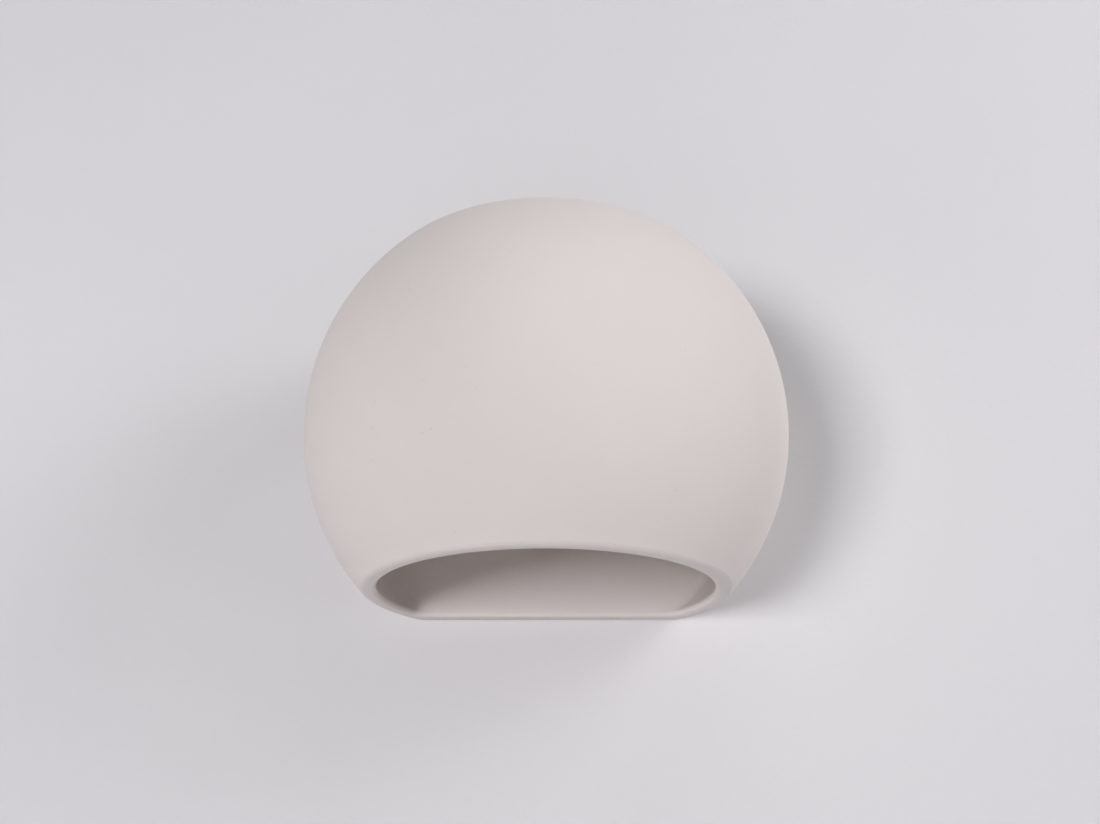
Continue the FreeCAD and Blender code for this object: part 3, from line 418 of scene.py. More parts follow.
@dataclass(frozen=True)
class TurnedMetal(Finish):
    """Turned, spun or drawn metal: fine rings round its axis, and cloudy tarnish."""

    middle: Point = (0.0, 0.0, 0.0)
    axis: Axis = Axis.OUT_OF_WALL
    tarnish: Colour = (0.45, 0.42, 0.37, 1.0)
    tarnished: float = 0.25
    smooth: float = 0.22
    ring_depth: float = 0.000012

    def paint(self, graph: Graph) -> None:
        """Lays down the rings, the tarnish and the handling marks."""
        places = list(graph.axes())
        along = places.pop(self.axis.value)
        across = [part for number, part in enumerate(self.middle) if number != self.axis.value]
        radius = ((places[0] - across[0]) ** 2.0 + (places[1] - across[1]) ** 2.0) ** 0.5
        rings = graph.noise(1.0, 3.0, graph.point(radius * 5200.0, along * 5200.0, 0.0))
        bloom = graph.noise(230.0, 4.0, twist=1.0).rise(0.42, 0.72)
        marks = graph.noise(900.0, 3.0, twist=2.5).rise(0.60, 0.72)
        colour = graph.mix(bloom * self.tarnished, self.colour, self.tarnish)
        colour = graph.mix((rings - 0.5) * 0.5 + 0.2, colour, toned(self.colour, 0.86))
        colour = graph.mix(marks * 0.25, colour, toned(self.colour, 1.08))
        roughness = self.smooth + (rings - 0.5) * 0.20 + bloom * 0.16 + marks * 0.08
        height = (rings - 0.5) * self.ring_depth + (graph.noise(1500.0) - 0.5) * 0.000006
        graph.close(graph.surface(Base_Color=colour, Metallic=1.0, Roughness=roughness,
                                  Normal=graph.relief(height)))


@dataclass(frozen=True)
class PressedMetal(Finish):
    """Small pressed or drawn metal parts: brass, bronze or tin plate with tarnish and tool marks."""

    tarnish: Colour = (0.30, 0.19, 0.08, 1.0)
    tarnished: float = 0.35
    smooth: float = 0.24

    def paint(self, graph: Graph) -> None:
        """Lays down tarnish, tool marks and fine scratches."""
        x, y, z = graph.axes()
        bloom = graph.noise(310.0, 4.0, twist=0.8).rise(0.38, 0.72)
        scratches = graph.noise(1.0, 4.0, graph.point(x * 3200.0, y * 3200.0, z * 500.0)).rise(0.56, 0.70)
        dulled = graph.noise(90.0, 2.0).rise(0.35, 0.65)
        colour = graph.mix(bloom * self.tarnished, self.colour, self.tarnish)
        colour = graph.mix(scratches * 0.35, colour, toned(self.colour, 1.10))
        colour = graph.mix(dulled * 0.15, colour, toned(self.tarnish, 0.90))
        height = (graph.noise(2100.0, 3.0) - 0.5) * 0.000014 - scratches * 0.000008
        graph.close(graph.surface(Base_Color=colour, Metallic=1.0,
                                  Roughness=self.smooth + bloom * 0.20 + dulled * 0.08,
                                  Normal=graph.relief(height)))


@dataclass(frozen=True)
class VulcanFibre(Finish):
    """Red fibre washer: pressed paper laminate with a leathery grain."""

    def paint(self, graph: Graph) -> None:
        """Lays down the fibres and the pressed grain."""
        x, y, z = graph.axes()
        fibres = graph.noise(1.0, 4.0, graph.point(x * 1600.0, y * 5200.0, z * 2600.0), twist=1.4)
        worn = graph.noise(330.0, 3.0).rise(0.40, 0.65)
        colour = graph.mix(fibres.rise(0.35, 0.65), toned(self.colour, 0.72), toned(self.colour, 1.25))
        colour = graph.mix(worn * 0.30, colour, (0.58, 0.27, 0.19, 1.0))
        height = (fibres - 0.5) * 0.00006
        graph.close(graph.surface(Base_Color=colour, Roughness=0.72 - worn * 0.16,
                                  Normal=graph.relief(height)))


@dataclass(frozen=True)
class Rubber(Finish):
    """Moulded black rubber with a dusty bloom."""

    def paint(self, graph: Graph) -> None:
        """Lays down the bloom and the mould's fine texture."""
        bloom = graph.noise(180.0, 4.0, twist=0.7).rise(0.40, 0.72)
        dust = graph.noise(2400.0, 2.0).rise(0.62, 0.72)
        colour = graph.mix(bloom * 0.5, self.colour, (0.075, 0.074, 0.071, 1.0))
        colour = graph.mix(dust * 0.25, colour, (0.22, 0.215, 0.20, 1.0))
        height = (graph.noise(1900.0, 3.0) - 0.5) * 0.00003
        graph.close(graph.surface(Base_Color=colour, Roughness=0.62 + bloom * 0.16,
                                  Normal=graph.relief(height)))


@dataclass(frozen=True)
class MouldedPlastic(Finish):
    """Moulded plastic: spark-eroded satin texture, flow clouds and a little handling shine."""

    grain_scale: float = 1900.0
    grain_depth: float = 0.000025
    satin: float = 0.42
    glow: float = 0.0

    def paint(self, graph: Graph) -> None:
        """Lays down the satin texture, the flow clouds and the shine."""
        grain = graph.noise(self.grain_scale, 3.0)
        flow = graph.noise(38.0, 3.0, twist=1.2).rise(0.35, 0.68)
        handled = graph.noise(75.0, 2.0).rise(0.45, 0.70)
        specks = graph.dots(420.0, 0.08, 0.05)
        colour = graph.mix(flow, toned(self.colour, 0.965), toned(self.colour, 1.01))
        colour = graph.mix((grain - 0.5) * 0.4 + 0.2, colour, toned(self.colour, 0.94))
        colour = graph.mix(specks * 0.5, colour, toned(self.colour, 0.55))
        roughness = self.satin + (grain - 0.5) * 0.16 - handled * 0.10
        height = (grain - 0.5) * self.grain_depth + flow * 0.00002
        graph.close(graph.surface(Base_Color=colour, Roughness=roughness, Normal=graph.relief(height),
                                  Subsurface_Weight=self.glow, Subsurface_Radius=(0.002, 0.0018, 0.0015)))


@dataclass(frozen=True)
class Porcelain(Finish):
    """Glazed white porcelain: glassy coat, faint orange peel and iron specks."""

    def paint(self, graph: Graph) -> None:
        """Lays down the body colour, the specks and the glaze."""
        clouds = graph.noise(120.0, 3.0).rise(0.35, 0.68)
        specks = graph.dots(700.0, 0.10, 0.05)
        thin_glaze = graph.noise(210.0, 2.0).rise(0.40, 0.66)
        colour = graph.mix(clouds, toned(self.colour, 0.95), self.colour)
        colour = graph.mix(specks * 0.7, colour, (0.30, 0.22, 0.15, 1.0))
        height = graph.noise(420.0, 2.0) * 0.00003 - specks * 0.00003
        graph.close(graph.surface(Base_Color=colour, Roughness=0.28 + thin_glaze * 0.22,
                                  Coat_Weight=0.9 - thin_glaze * 0.35, Coat_Roughness=0.06,
                                  Normal=graph.relief(height)))


class Stripe(Enum):
    """How the insulation of a lead is coloured."""

    PLAIN = "one colour"
    TWO_COLOURS = "two colours along its length"


@dataclass(frozen=True)
class Lead(Finish):
    """Stranded lead: glossy flexible insulation, bare copper strands at both ends."""

    stripe: Stripe = Stripe.PLAIN
    second_colour: Colour = (0.62, 0.60, 0.03, 1.0)
    copper: Colour = (0.80, 0.38, 0.20, 1.0)
    connector_end: Point = (0.015, -0.010, -0.0080)
    holder_end: Size = (-0.0415, -0.050)

    def paint(self, graph: Graph) -> None:
        """Lays down the insulation, its stripe and the bare ends."""
        x, y, z = graph.axes()
        in_connector = (z > self.connector_end[2]) * (x > self.connector_end[0]) * (y > self.connector_end[1])
        in_holder = (x > self.holder_end[0]) * (y < self.holder_end[1])
        bare = in_connector.most(in_holder)
        drawn = graph.noise(330.0, 3.0, twist=0.8).rise(0.35, 0.68)
        colour = graph.mix(drawn, toned(self.colour, 0.88), toned(self.colour, 1.08))
        if self.stripe is Stripe.TWO_COLOURS:
            facing = graph.node("ShaderNodeSeparateXYZ", sockets={
                "Vector": graph.node("ShaderNodeNewGeometry").outputs["Normal"]})
            side = abs(Value(graph, facing.outputs["Y"])).rise(0.58, 0.62)
            colour = graph.mix(side, colour, self.second_colour)
        strands = graph.noise(1.0, 2.0, graph.point(x * 5200.0, y * 5200.0, z * 900.0))
        copper = graph.mix(strands.rise(0.40, 0.60), toned(self.copper, 0.62), self.copper)
        colour = graph.mix(bare, colour, copper)
        roughness = 0.36 + drawn * 0.10 - bare * 0.08
        height = (graph.noise(1700.0, 2.0) - 0.5) * 0.000012 + (strands - 0.5) * bare * 0.00008
        graph.close(graph.surface(Base_Color=colour, Roughness=roughness, Metallic=bare,
                                  Normal=graph.relief(height)))


@dataclass(frozen=True)
class OpalGlobe(Finish):
    """Frosted opal globe of a lamp: milky, with a fine satin and a slight flow cloud."""

    def paint(self, graph: Graph) -> None:
        """Lays down the milky colour, the satin and the cloud."""
        cloud = graph.noise(26.0, 2.0).rise(0.35, 0.66)
        satin = graph.noise(2300.0, 2.0)
        fingered = graph.noise(60.0, 3.0, twist=0.6).rise(0.50, 0.72)
        colour = graph.mix(cloud, toned(self.colour, 0.975), self.colour)
        roughness = 0.36 + (satin - 0.5) * 0.14 - fingered * 0.10
        graph.close(graph.surface(Base_Color=colour, Roughness=roughness,
                                  Normal=graph.relief((satin - 0.5) * 0.000012),
                                  Subsurface_Weight=0.35, Subsurface_Radius=(0.004, 0.004, 0.004)))


@dataclass(frozen=True)
class LightBoard(Finish):
    """White coated board with yellow light sources standing on it."""

    board_front: float = 0.03635
    phosphor: Colour = (0.86, 0.62, 0.12, 1.0)

    def paint(self, graph: Graph) -> None:
        """Lays down the coat, the tracks under it and the yellow sources."""
        x, y, z = graph.axes()
        sources = x.rise(self.board_front, self.board_front + 0.00015)
        tracks = graph.noise(260.0, 0.0, graph.point(0.0, y, z)).rise(0.50, 0.53)
        grain = graph.noise(1500.0, 3.0)
        colour = graph.mix(tracks * 0.5, self.colour, toned(self.colour, 0.88))
        sourced = graph.mix(grain.rise(0.35, 0.65), toned(self.phosphor, 0.88), self.phosphor)
        colour = graph.mix(sources, colour, sourced)
        height = tracks * 0.00004 + (grain - 0.5) * 0.00001
        graph.close(graph.surface(Base_Color=colour, Roughness=0.36 + (grain - 0.5) * 0.2,
                                  Normal=graph.relief(height)))


@dataclass(frozen=True)
class BlackGlass(Finish):
    """Black glass insulator of a lamp's cap: poured, glossy, with flow rings."""

    lamp_out: float = -0.058

    def paint(self, graph: Graph) -> None:
        """Lays down the flow rings and the gloss."""
        x, y, z = graph.axes()
        radius = ((y - self.lamp_out) ** 2.0 + z * z) ** 0.5
        flow = graph.noise(1.0, 2.0, graph.point(radius * 900.0, x * 500.0, y * 60.0))
        dust = graph.noise(1500.0, 3.0).rise(0.60, 0.72)
        colour = graph.mix(flow.rise(0.35, 0.65), self.colour, (0.045, 0.047, 0.055, 1.0))
        colour = graph.mix(dust * 0.2, colour, (0.20, 0.20, 0.20, 1.0))
        graph.close(graph.surface(Base_Color=colour, Roughness=0.07 + dust * 0.25,
                                  Coat_Weight=0.5 - dust * 0.3, Coat_Roughness=0.05,
                                  Normal=graph.relief(flow * 0.00006)))


@dataclass(frozen=True)
class Plaster(Finish):
    """Painted plaster behind the light.

    Seen from behind, the wall lets the view through. Where the light's flat back lies on it, it also lets
    through rays that start close to it, so that light from behind reaches that back.
    """

    close_by: float = 0.012
    back_radius: float = 0.1145
    back_half_height: float = 0.0885

    def paint(self, graph: Graph) -> None:
        """Lays down the roller's texture, and what the wall lets through."""
        x, y, z = graph.axes()
        roller = graph.noise(260.0, 3.0)
        waves = graph.noise(2.2, 2.0).rise(0.30, 0.70)
        colour = graph.mix(waves, toned(self.colour, 0.985), toned(self.colour, 1.01))
        colour = graph.mix((roller - 0.5) * 0.5 + 0.2, colour, toned(self.colour, 0.985))
        height = (roller - 0.5) * 0.00012 + graph.noise(1200.0, 2.0) * 0.00002
        painted = graph.surface(Base_Color=colour, Roughness=0.85, Normal=graph.relief(height),
                                Specular_IOR_Level=0.25)
        behind_light = ((x * x + z * z) < self.back_radius ** 2) * (abs(z) < self.back_half_height)
        ray = graph.node("ShaderNodeLightPath")
        started_close = Value(graph, ray.outputs["Ray Length"]) < self.close_by
        geometry = graph.node("ShaderNodeNewGeometry")
        through = (started_close * behind_light).most(Value(graph, geometry.outputs["Backfacing"]))
        clear = graph.node("ShaderNodeBsdfTransparent")
        graph.close(graph.node("ShaderNodeMixShader", sockets={
            "Fac": through, 1: painted.outputs[0], 2: clear.outputs[0]}))


@dataclass(frozen=True)
class PaleFloor(Finish):
    """Plain pale floor far below the light."""

    def paint(self, graph: Graph) -> None:
        """Lays down a faint cloud and fine grain."""
        cloud = graph.noise(1.3, 3.0).rise(0.3, 0.7)
        colour = graph.mix(cloud, toned(self.colour, 0.97), self.colour)
        graph.close(graph.surface(Base_Color=colour, Roughness=0.7,
                                  Normal=graph.relief(graph.noise(90.0, 3.0) * 0.0001)))


# ---- making and dressing pieces ----

def dress(finish: Finish, *nodes: str) -> None:
    """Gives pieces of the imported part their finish.

    Args:
        finish: the finish.
        nodes: the names of the pieces.
    """
    for node in nodes:
        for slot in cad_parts[node].material_slots:
            slot.material = material_of(finish)
        report.info("dressed %s: %s", node, finish.name)


def make_object(
    name: str, shape: bmesh.types.BMesh, finish: Finish, sharp_angle: float = 30.0
) -> bpy.types.Object:
    """Turns a finished shape into an object at the origin.

    Args:
        name: the object's name.
        shape: the shape, which is used up.
        finish: its finish.
        sharp_angle: edges that bend more than this many degrees stay sharp.

    Returns:
        The new object.
    """
    mesh = bpy.data.meshes.new(name)
    shape.to_mesh(mesh)
    shape.free()
    mesh.shade_smooth()
    mesh.set_sharp_from_angle(angle=math.radians(sharp_angle))
    mesh.materials.append(material_of(finish))
    made = bpy.data.objects.new(name, mesh)
    bpy.context.scene.collection.objects.link(made)
    return made


def add_piece(made: bpy.types.Object, body: str, finish: Finish, *nodes: str) -> None:
    """Makes a new object one of the light's pieces.

    Args:
        made: the object.
        body: the body that it moves with.
        finish: its finish, whose slot the record lists.
        nodes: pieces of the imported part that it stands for.
    """
    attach(made, body)
    if nodes:
        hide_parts(*nodes)
    report.info("built %s on %s: %s", made.name, body, finish.name)


def profile_line(shape: bmesh.types.BMesh, points: list[Point]) -> list[bmesh.types.BMEdge]:
    """Draws an open line for an operator to spin.

    Args:
        shape: the shape that it is drawn in.
        points: its points in order.

    Returns:
        Its edges.
    """
    corners = [shape.verts.new(point) for point in points]
    return [shape.edges.new(pair) for pair in zip(corners, corners[1:])]


def spin_round(shape: bmesh.types.BMesh, line: list[bmesh.types.BMEdge], middle: Point, axis: Point,
               steps: int = 48) -> None:
    """Turns a line once round an axis and closes the seam and the poles.

    Args:
        shape: the shape that the line is in.
        line: its edges.
        middle: a point on the axis.
        axis: the axis's direction.
        steps: faces round the axis.
    """
    corners = {corner for edge in line for corner in edge.verts}
    bmesh.ops.spin(shape, geom=[*corners, *line], cent=middle, axis=axis, angle=math.tau, steps=steps,
                   use_merge=True, use_duplicate=False)
    bmesh.ops.remove_doubles(shape, verts=shape.verts[:], dist=1e-7)
    bmesh.ops.recalc_face_normals(shape, faces=shape.faces[:])


@dataclass(frozen=True)
class Thread:
    """A screw thread as a helix: its sizes and where it starts and ends along its axis."""

    root: float
    crest: float
    pitch: float
    start: float
    end: float
    crest_share: float = 0.12
    steps: int = 36

    def cut(self, shape: bmesh.types.BMesh, middle: Point, axis: Point, outwards: Point) -> None:
        """Adds the closed, threaded rod to a shape.

        Args:
            shape: the shape.
            middle: the point on the axis that the start and end are measured from.
            axis: the axis's direction, one long.
            outwards: a direction square to the axis, one long.
        """
        along, out, base = Vector(axis), Vector(outwards), Vector(middle)
        turns = math.ceil((self.end - self.start) / self.pitch) + 2
        first = self.start - self.pitch
        half = self.crest_share / 2
        tooth = [(0.0, self.root), (half, self.root), (0.5 - half, self.crest),
                 (0.5 + half, self.crest), (1.0 - half, self.root), (1.0, self.root)]
        points = [base + along * (first + place * self.pitch) + out * radius for place, radius in tooth]
        line = profile_line(shape, points)
        before = set(shape.faces)
        corners = {corner for edge in line for corner in edge.verts}
        bmesh.ops.spin(shape, geom=[*corners, *line], cent=base, axis=along,
                       dvec=along * (self.pitch / self.steps), angle=math.tau * turns,
                       steps=self.steps * turns, use_merge=False, use_duplicate=False)
        bmesh.ops.remove_doubles(shape, verts=shape.verts[:], dist=self.pitch * 0.01)
        for place, side in ((self.start, -1.0), (self.end, 1.0)):
            wound = [face for face in shape.faces if face not in before]
            geometry = {part for face in wound for part in (*face.verts, *face.edges, face)}
            bmesh.ops.bisect_plane(shape, geom=list(geometry), dist=1e-7, plane_co=base + along * place,
                                   plane_no=along * side, clear_outer=True)
        open_edges = [edge for edge in shape.edges if edge.is_boundary]
        bmesh.ops.holes_fill(shape, edges=open_edges, sides=0)
        bmesh.ops.recalc_face_normals(shape, faces=shape.faces[:])


# ---- the light's sub-assemblies ----

@dataclass
class CeramicShade:
    """The ceramic ball with its slab, and the soft washers behind the nuts."""

    bisque: BisqueCeramic = BisqueCeramic("bisque_ceramic_finish", "bisque_ceramic",
                                          (0.70, 0.651, 0.624, 1.0))
    fibre: VulcanFibre = VulcanFibre("washer_fibre_finish", "washer_fibre", (0.33, 0.075, 0.045, 1.0))

    def build(self) -> None:
        """Dresses the casting and the washers."""
        dress(self.bisque, "ceramic_shade")
        dress(self.fibre, "fibre_washers")


@dataclass
class FixingStud:
    """A clinched stud: flat head in the bracket's back, plain shank and a helical thread."""

    name: str
    z: float
    head_radius: float = 0.00315
    head_thickness: float = 0.0008
    shank_radius: float = 0.002
    shank_end: float = 0.0098
    thread: Thread = Thread(root=0.00165, crest=0.002, pitch=0.0007, start=0.0096, end=0.021)
    point_length: float = 0.0005
    finish: BrightZinc = BrightZinc("zinc_stud_finish", "zinc_fastener", ZINC)

    def build(self) -> None:
        """Builds the head and shank, winds the thread and chamfers its end."""
        shape = bmesh.new()
        middle = (0.0, 0.0, self.z)
        outward = (0.0, -1.0, 0.0)
        self.thread.cut(shape, middle, outward, (1.0, 0.0, 0.0))
        self._chamfer(shape)
        turned = bmesh.new()
        section = [(0.0, 0.0), (self.head_radius, 0.0), (self.head_radius, self.head_thickness),
                   (self.shank_radius, self.head_thickness), (self.shank_radius, self.shank_end - 0.0002),
                   (self.thread.root, self.shank_end), (0.0, self.shank_end)]
        line = profile_line(turned, [(radius, -out, self.z) for radius, out in section])
        spin_round(turned, line, middle, outward)
        turned_mesh = bpy.data.meshes.new("stud_shank")
        turned.to_mesh(turned_mesh)
        turned.free()
        shape.from_mesh(turned_mesh)
        bpy.data.meshes.remove(turned_mesh)
        made = make_object(f"{self.name}_threaded", shape, self.finish)
        add_piece(made, "wall_bracket", self.finish, self.name)

    def _chamfer(self, shape: bmesh.types.BMesh) -> None:
        """Draws the thread's last part in to a blunt point."""
        for corner in shape.verts:
            left = self.thread.end + corner.co.y
            if left < self.point_length:
                offset = Vector((corner.co.x, 0.0, corner.co.z - self.z))
                allowed = self.thread.root - 0.00015 + left
                if offset.length > allowed:
                    offset *= allowed / offset.length
                    corner.co = Vector((offset.x, corner.co.y, offset.z + self.z))


@dataclass
class ThumbNuts:
    """The two knurled nuts that hold the shade on its studs."""

    stud_height: float = 0.044

    def build(self) -> None:
        """Dresses each nut with rings round its own stud."""
        for name, z in (("fixing_nut_upper", self.stud_height), ("fixing_nut_lower", -self.stud_height)):
            nickel = TurnedMetal(f"{name}_nickel_finish", "nickel_nut", (0.72, 0.70, 0.66, 1.0),
                                 middle=(0.0, 0.0, z), tarnished=0.20)
            dress(nickel, name)


@dataclass
class WallBracket:
    """The steel strip on the wall, the bent arm, its screws and the rubber bushes."""

    steel: RolledZinc = RolledZinc("zinc_plate_finish", "zinc_plate", (0.66, 0.67, 0.69, 1.0))
    fasteners: BrightZinc = BrightZinc("zinc_fastener_finish", "zinc_fastener", ZINC)
    rubber: Rubber = Rubber("black_rubber_finish", "black_rubber", (0.028, 0.028, 0.029, 1.0))

    def build(self) -> None:
        """Dresses strip, arm, screws and bushes."""
        dress(self.steel, "wall_bracket_strip", "lampholder_arm")
        dress(self.fasteners, "arm_screws", "spring_washers")
        dress(self.rubber, "cable_grommet", "lead_bush")


@dataclass
class EarthPoint:
    """The earth screw with its cup washer and the crimped tag."""

    middle: Point = (-0.020, 0.0, 0.0)

    def build(self) -> None:
        """Dresses screw, washer and tag."""
        brass = TurnedMetal("earth_brass_finish", "brass_fitting", YELLOW_BRASS, middle=self.middle,
                            tarnish=(0.36, 0.22, 0.08, 1.0), tarnished=0.30)
        tin = PressedMetal("tinned_tag_finish", "tinned_tag", (0.74, 0.74, 0.73, 1.0),
                           tarnish=(0.42, 0.42, 0.41, 1.0), smooth=0.30)
        dress(brass, "earth_screw", "earth_cup_washer")
        dress(tin, "earth_ring_tag")


@dataclass
class Connector:
    """The three-pole connector with its brass clamps and screws."""

    nylon: MouldedPlastic = MouldedPlastic("cream_nylon_finish", "cream_nylon", (0.84, 0.81, 0.72, 1.0),
                                           grain_scale=1500.0, satin=0.46, glow=0.15)
    brass: PressedMetal = PressedMetal("clamp_brass_finish", "brass_fitting", YELLOW_BRASS)
    screws: BrightZinc = BrightZinc("connector_screw_finish", "zinc_fastener", ZINC)

    def build(self) -> None:
        """Dresses the body, its clamps and its screws."""
        dress(self.nylon, "terminal_housing")
        dress(self.brass, "terminal_clamps")
        dress(self.screws, "terminal_screws", "terminal_fixing_screws")


@dataclass
class Leads:
    """The two lamp leads and the earth lead."""

    live: Lead = Lead("brown_lead_finish", "brown_lead", (0.13, 0.050, 0.022, 1.0))
    neutral: Lead = Lead("blue_lead_finish", "blue_lead", (0.030, 0.135, 0.44, 1.0))
    earth: Lead = Lead("green_yellow_lead_finish", "green_yellow_lead", (0.055, 0.26, 0.045, 1.0),
                       stripe=Stripe.TWO_COLOURS)

    def build(self) -> None:
        """Dresses the three leads."""
        dress(self.live, "live_lead")
        dress(self.neutral, "neutral_lead")
        dress(self.earth, "earth_lead")


@dataclass
class Lampholder:
    """The lampholder: nipple and locknut, domed cap, porcelain inside, sleeve, contacts and skirt."""

    axis_point: Point = (0.0, -0.058, 0.0)
    moulding: MouldedPlastic = MouldedPlastic("holder_plastic_finish", "holder_plastic",
                                              (0.84, 0.84, 0.82, 1.0))
    porcelain: Porcelain = Porcelain("porcelain_finish", "porcelain", (0.86, 0.85, 0.81, 1.0))
    brass: PressedMetal = PressedMetal("holder_terminal_brass_finish", "brass_fitting", YELLOW_BRASS)
    bronze: PressedMetal = PressedMetal("spring_bronze_finish", "spring_bronze", (0.74, 0.47, 0.27, 1.0),
                                        tarnish=(0.30, 0.16, 0.08, 1.0), smooth=0.20)
    screws: BrightZinc = BrightZinc("holder_screw_finish", "zinc_fastener", ZINC)

    def build(self) -> None:
        """Dresses every piece of the lampholder."""
        turned_zinc = TurnedMetal("nipple_zinc_finish", "zinc_fastener", ZINC,
                                  middle=self.axis_point, axis=Axis.ALONG_WALL, tarnished=0.12)
        drawn_nickel = TurnedMetal("thread_sleeve_finish", "nickel_sheet", (0.74, 0.73, 0.70, 1.0),
                                   middle=self.axis_point, axis=Axis.ALONG_WALL, tarnished=0.18, smooth=0.16)
        dress(turned_zinc, "lampholder_nipple", "nipple_lock_washer", "nipple_locknut")
        dress(self.moulding, "lampholder_cap", "lampholder_skirt")
        dress(self.porcelain, "lampholder_insert")
        dress(self.brass, "lampholder_terminals")
        dress(self.screws, "lampholder_terminal_screws")
        dress(drawn_nickel, "thread_sleeve")
        dress(self.bronze, "centre_contact", "side_contact")


@dataclass
class Lamp:
    """The screw-cap lamp with its opal globe."""

    axis_point: Point = (0.0, -0.058, 0.0)
    opal: OpalGlobe = OpalGlobe("opal_bulb_finish", "opal_bulb", (0.92, 0.915, 0.895, 1.0))
    board: LightBoard = LightBoard("lamp_board_finish", "lamp_board", (0.85, 0.85, 0.84, 1.0))
    housing: MouldedPlastic = MouldedPlastic("lamp_plastic_finish", "lamp_plastic", (0.89, 0.89, 0.88, 1.0),
                                             grain_scale=2600.0, grain_depth=0.000012, satin=0.34)
    glass: BlackGlass = BlackGlass("black_glass_finish", "black_glass", (0.018, 0.018, 0.024, 1.0))

    def build(self) -> None:
        """Dresses globe, board, housing and cap."""
        shell = TurnedMetal("lamp_cap_shell_finish", "nickel_sheet", (0.75, 0.74, 0.71, 1.0),
                            middle=self.axis_point, axis=Axis.ALONG_WALL, tarnished=0.15, smooth=0.18)
        tin = PressedMetal("tin_tip_finish", "tin_tip", (0.66, 0.66, 0.65, 1.0),
                           tarnish=(0.38, 0.38, 0.37, 1.0), smooth=0.38)
        dress(self.opal, "lamp_globe")
        dress(self.board, "lamp_board")
        dress(self.housing, "lamp_housing")
        dress(shell, "lamp_cap_shell")
        dress(self.glass, "lamp_cap_insulator")
        dress(tin, "lamp_cap_contact")


# ---- room, light and camera ----

@dataclass
class Room:
    """The plaster wall that the light hangs on, a hair behind its back, and the floor far below it."""

    wall_radius: float = 3.0
    gap: float = 0.0012
    floor_drop: float = 1.2
    floor_radius: float = 4.0
    plaster: Plaster = Plaster("wall_plaster_finish", "wall_plaster", (0.705, 0.693, 0.700, 1.0))
    floor: PaleFloor = PaleFloor("pale_floor_finish", "pale_floor", (0.58, 0.57, 0.57, 1.0))

    def build(self) -> None:
        """Builds wall and floor."""
        upright = Matrix.Translation((0.0, self.gap, 0.0)) @ Matrix.Rotation(math.radians(90.0), 4, "X")
        level = Matrix.Translation((0.0, 0.0, -self.floor_drop))
        self._disc("plaster_wall", self.wall_radius, upright, Vector((0.0, -1.0, 0.0)), self.plaster)
        self._disc("pale_floor", self.floor_radius, level, Vector((0.0, 0.0, 1.0)), self.floor)
        report.info("built the room: wall and floor")

    @staticmethod
    def _disc(name: str, radius: float, place: Matrix, facing: Vector, finish: Finish) -> None:
        """Builds one flat round part of the room.

        Args:
            name: its name.
            radius: its radius.
            place: where it lies and how it is turned.
            facing: the side that it shows.
            finish: its finish.
        """
        shape = bmesh.new()
        bmesh.ops.create_circle(shape, cap_ends=True, segments=96, radius=radius, matrix=place)
        shape.normal_update()
        turned_away = [face for face in shape.faces if face.normal.dot(facing) < 0.0]
        bmesh.ops.reverse_faces(shape, faces=turned_away)
        make_object(name, shape, finish)


@dataclass
class SoftBox:
    """One soft, square lamp aimed at the light."""

    name: str
    azimuth: float
    elevation: float
    power: float
    distance: float = 2.2
    side: float = 0.9
    colour: tuple[float, float, float] = (0.975, 0.97, 1.0)

    def build(self) -> None:
        """Places the lamp on its bearing; azimuth 0 is straight in front, 90 is to the right."""
        turn, lift = math.radians(self.azimuth), math.radians(self.elevation)
        bearing = Vector((math.sin(turn) * math.cos(lift), -math.cos(turn) * math.cos(lift), math.sin(lift)))
        data = bpy.data.lights.new(self.name, "AREA")
        data.shape = "SQUARE"
        data.size = self.side
        data.energy = self.power
        data.color = self.colour
        lamp = bpy.data.objects.new(self.name, data)
        lamp.location = Vector((0.0, -0.058, 0.0)) + bearing * self.distance
        lamp.rotation_euler = bearing.to_track_quat("Z", "Y").to_euler()
        lamp.visible_camera = False
        bpy.context.scene.collection.objects.link(lamp)
        report.info("placed %s", self.name)


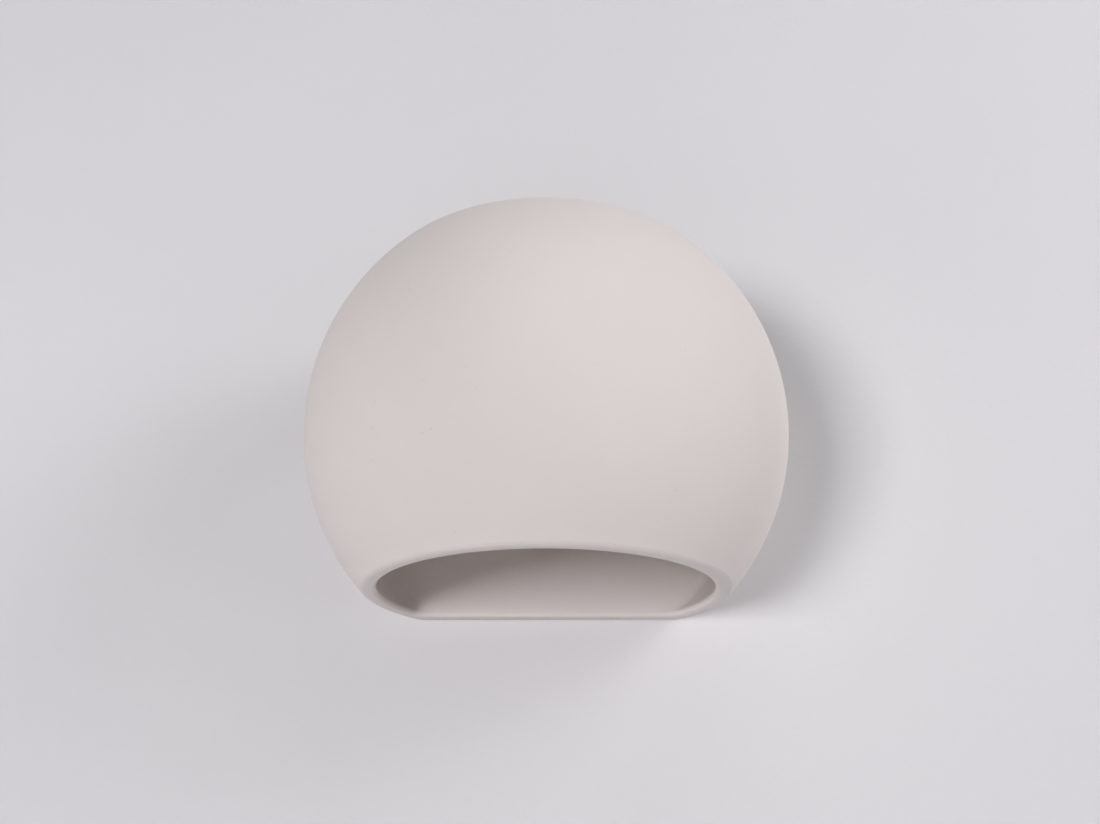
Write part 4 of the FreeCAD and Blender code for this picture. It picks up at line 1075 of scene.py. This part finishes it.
@dataclass
class Surroundings:
    """Even light from all round, and the pale background that the camera sees."""

    light: Colour = (0.98, 0.985, 1.0, 1.0)
    strength: float = 0.02
    backdrop: Colour = (0.86, 0.86, 0.87, 1.0)

    def build(self) -> None:
        """Makes the world."""
        world = bpy.data.worlds.new("pale_room")
        world.use_nodes = True
        nodes, links = world.node_tree.nodes, world.node_tree.links
        nodes.clear()
        ray = nodes.new("ShaderNodeLightPath")
        seen = self._either(nodes, links, ray.outputs["Is Camera Ray"], ray.outputs["Is Glossy Ray"])
        seen = self._either(nodes, links, seen, ray.outputs["Is Transmission Ray"])
        around = self._background(nodes, self.light, self.strength)
        shown = self._background(nodes, self.backdrop, 1.0)
        choice = nodes.new("ShaderNodeMixShader")
        links.new(seen, choice.inputs["Fac"])
        links.new(around, choice.inputs[1])
        links.new(shown, choice.inputs[2])
        links.new(choice.outputs[0], nodes.new("ShaderNodeOutputWorld").inputs["Surface"])
        bpy.context.scene.world = world

    @staticmethod
    def _either(nodes: bpy.types.Nodes, links: bpy.types.NodeLinks, first: bpy.types.NodeSocket,
                second: bpy.types.NodeSocket) -> bpy.types.NodeSocket:
        """One where either of two masks is one."""
        node = nodes.new("ShaderNodeMath")
        node.operation = "MAXIMUM"
        links.new(first, node.inputs[0])
        links.new(second, node.inputs[1])
        return node.outputs[0]

    @staticmethod
    def _background(nodes: bpy.types.Nodes, colour: Colour, strength: float) -> bpy.types.NodeSocket:
        """A background of one colour and strength."""
        node = nodes.new("ShaderNodeBackground")
        node.inputs["Color"].default_value = colour
        node.inputs["Strength"].default_value = strength
        return node.outputs[0]


@dataclass
class PhotoCamera:
    """The camera where the photograph was taken from: in front and below."""

    place: Point = (0.0075, -0.550, -0.2068)
    target: Point = (0.0, -0.058, 0.0)
    lens: float = 31.61
    shift: Size = (0.0034, 0.0216)
    roll: float = 0.12

    def build(self) -> None:
        """Places the camera and makes it the scene's."""
        data = bpy.data.cameras.new("photo_camera")
        data.lens = self.lens
        data.sensor_width = 36.0
        data.shift_x, data.shift_y = self.shift
        data.clip_start = 0.01
        camera = bpy.data.objects.new("photo_camera", data)
        look = (Vector(self.target) - Vector(self.place)).to_track_quat("-Z", "Y").to_matrix().to_4x4()
        camera.matrix_world = Matrix.Translation(self.place) @ look @ Matrix.Rotation(
            math.radians(self.roll), 4, "Z")
        bpy.context.scene.collection.objects.link(camera)
        bpy.context.scene.camera = camera
        report.info("placed the camera")


def main() -> None:
    """Dresses and builds the light, its room and its lighting."""
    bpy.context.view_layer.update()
    bpy.context.scene.view_settings.view_transform = "Standard"
    sub_assemblies = [
        CeramicShade(),
        FixingStud("fixing_stud_upper", 0.044),
        FixingStud("fixing_stud_lower", -0.044),
        ThumbNuts(),
        WallBracket(),
        EarthPoint(),
        Connector(),
        Leads(),
        Lampholder(),
        Lamp(),
        Room(),
        SoftBox("window_light", -29.0, -9.5, 30.5, side=0.6),
        SoftBox("right_high_light", 67.0, 29.0, 17.0, side=1.1),
        SoftBox("right_middle_light", 61.0, 13.0, 10.5),
        SoftBox("right_low_light", 50.0, -10.0, 4.6),
        SoftBox("ceiling_light", 20.0, 60.0, 5.6, side=1.2),
        SoftBox("left_high_light", -80.0, 50.0, 1.5, side=1.2),
        SoftBox("light_behind_wall", 180.0, 12.0, 14.0),
        Surroundings(),
        PhotoCamera(),
    ]
    for sub_assembly in sub_assemblies:
        sub_assembly.build()


if __name__ == "__main__":
    main()
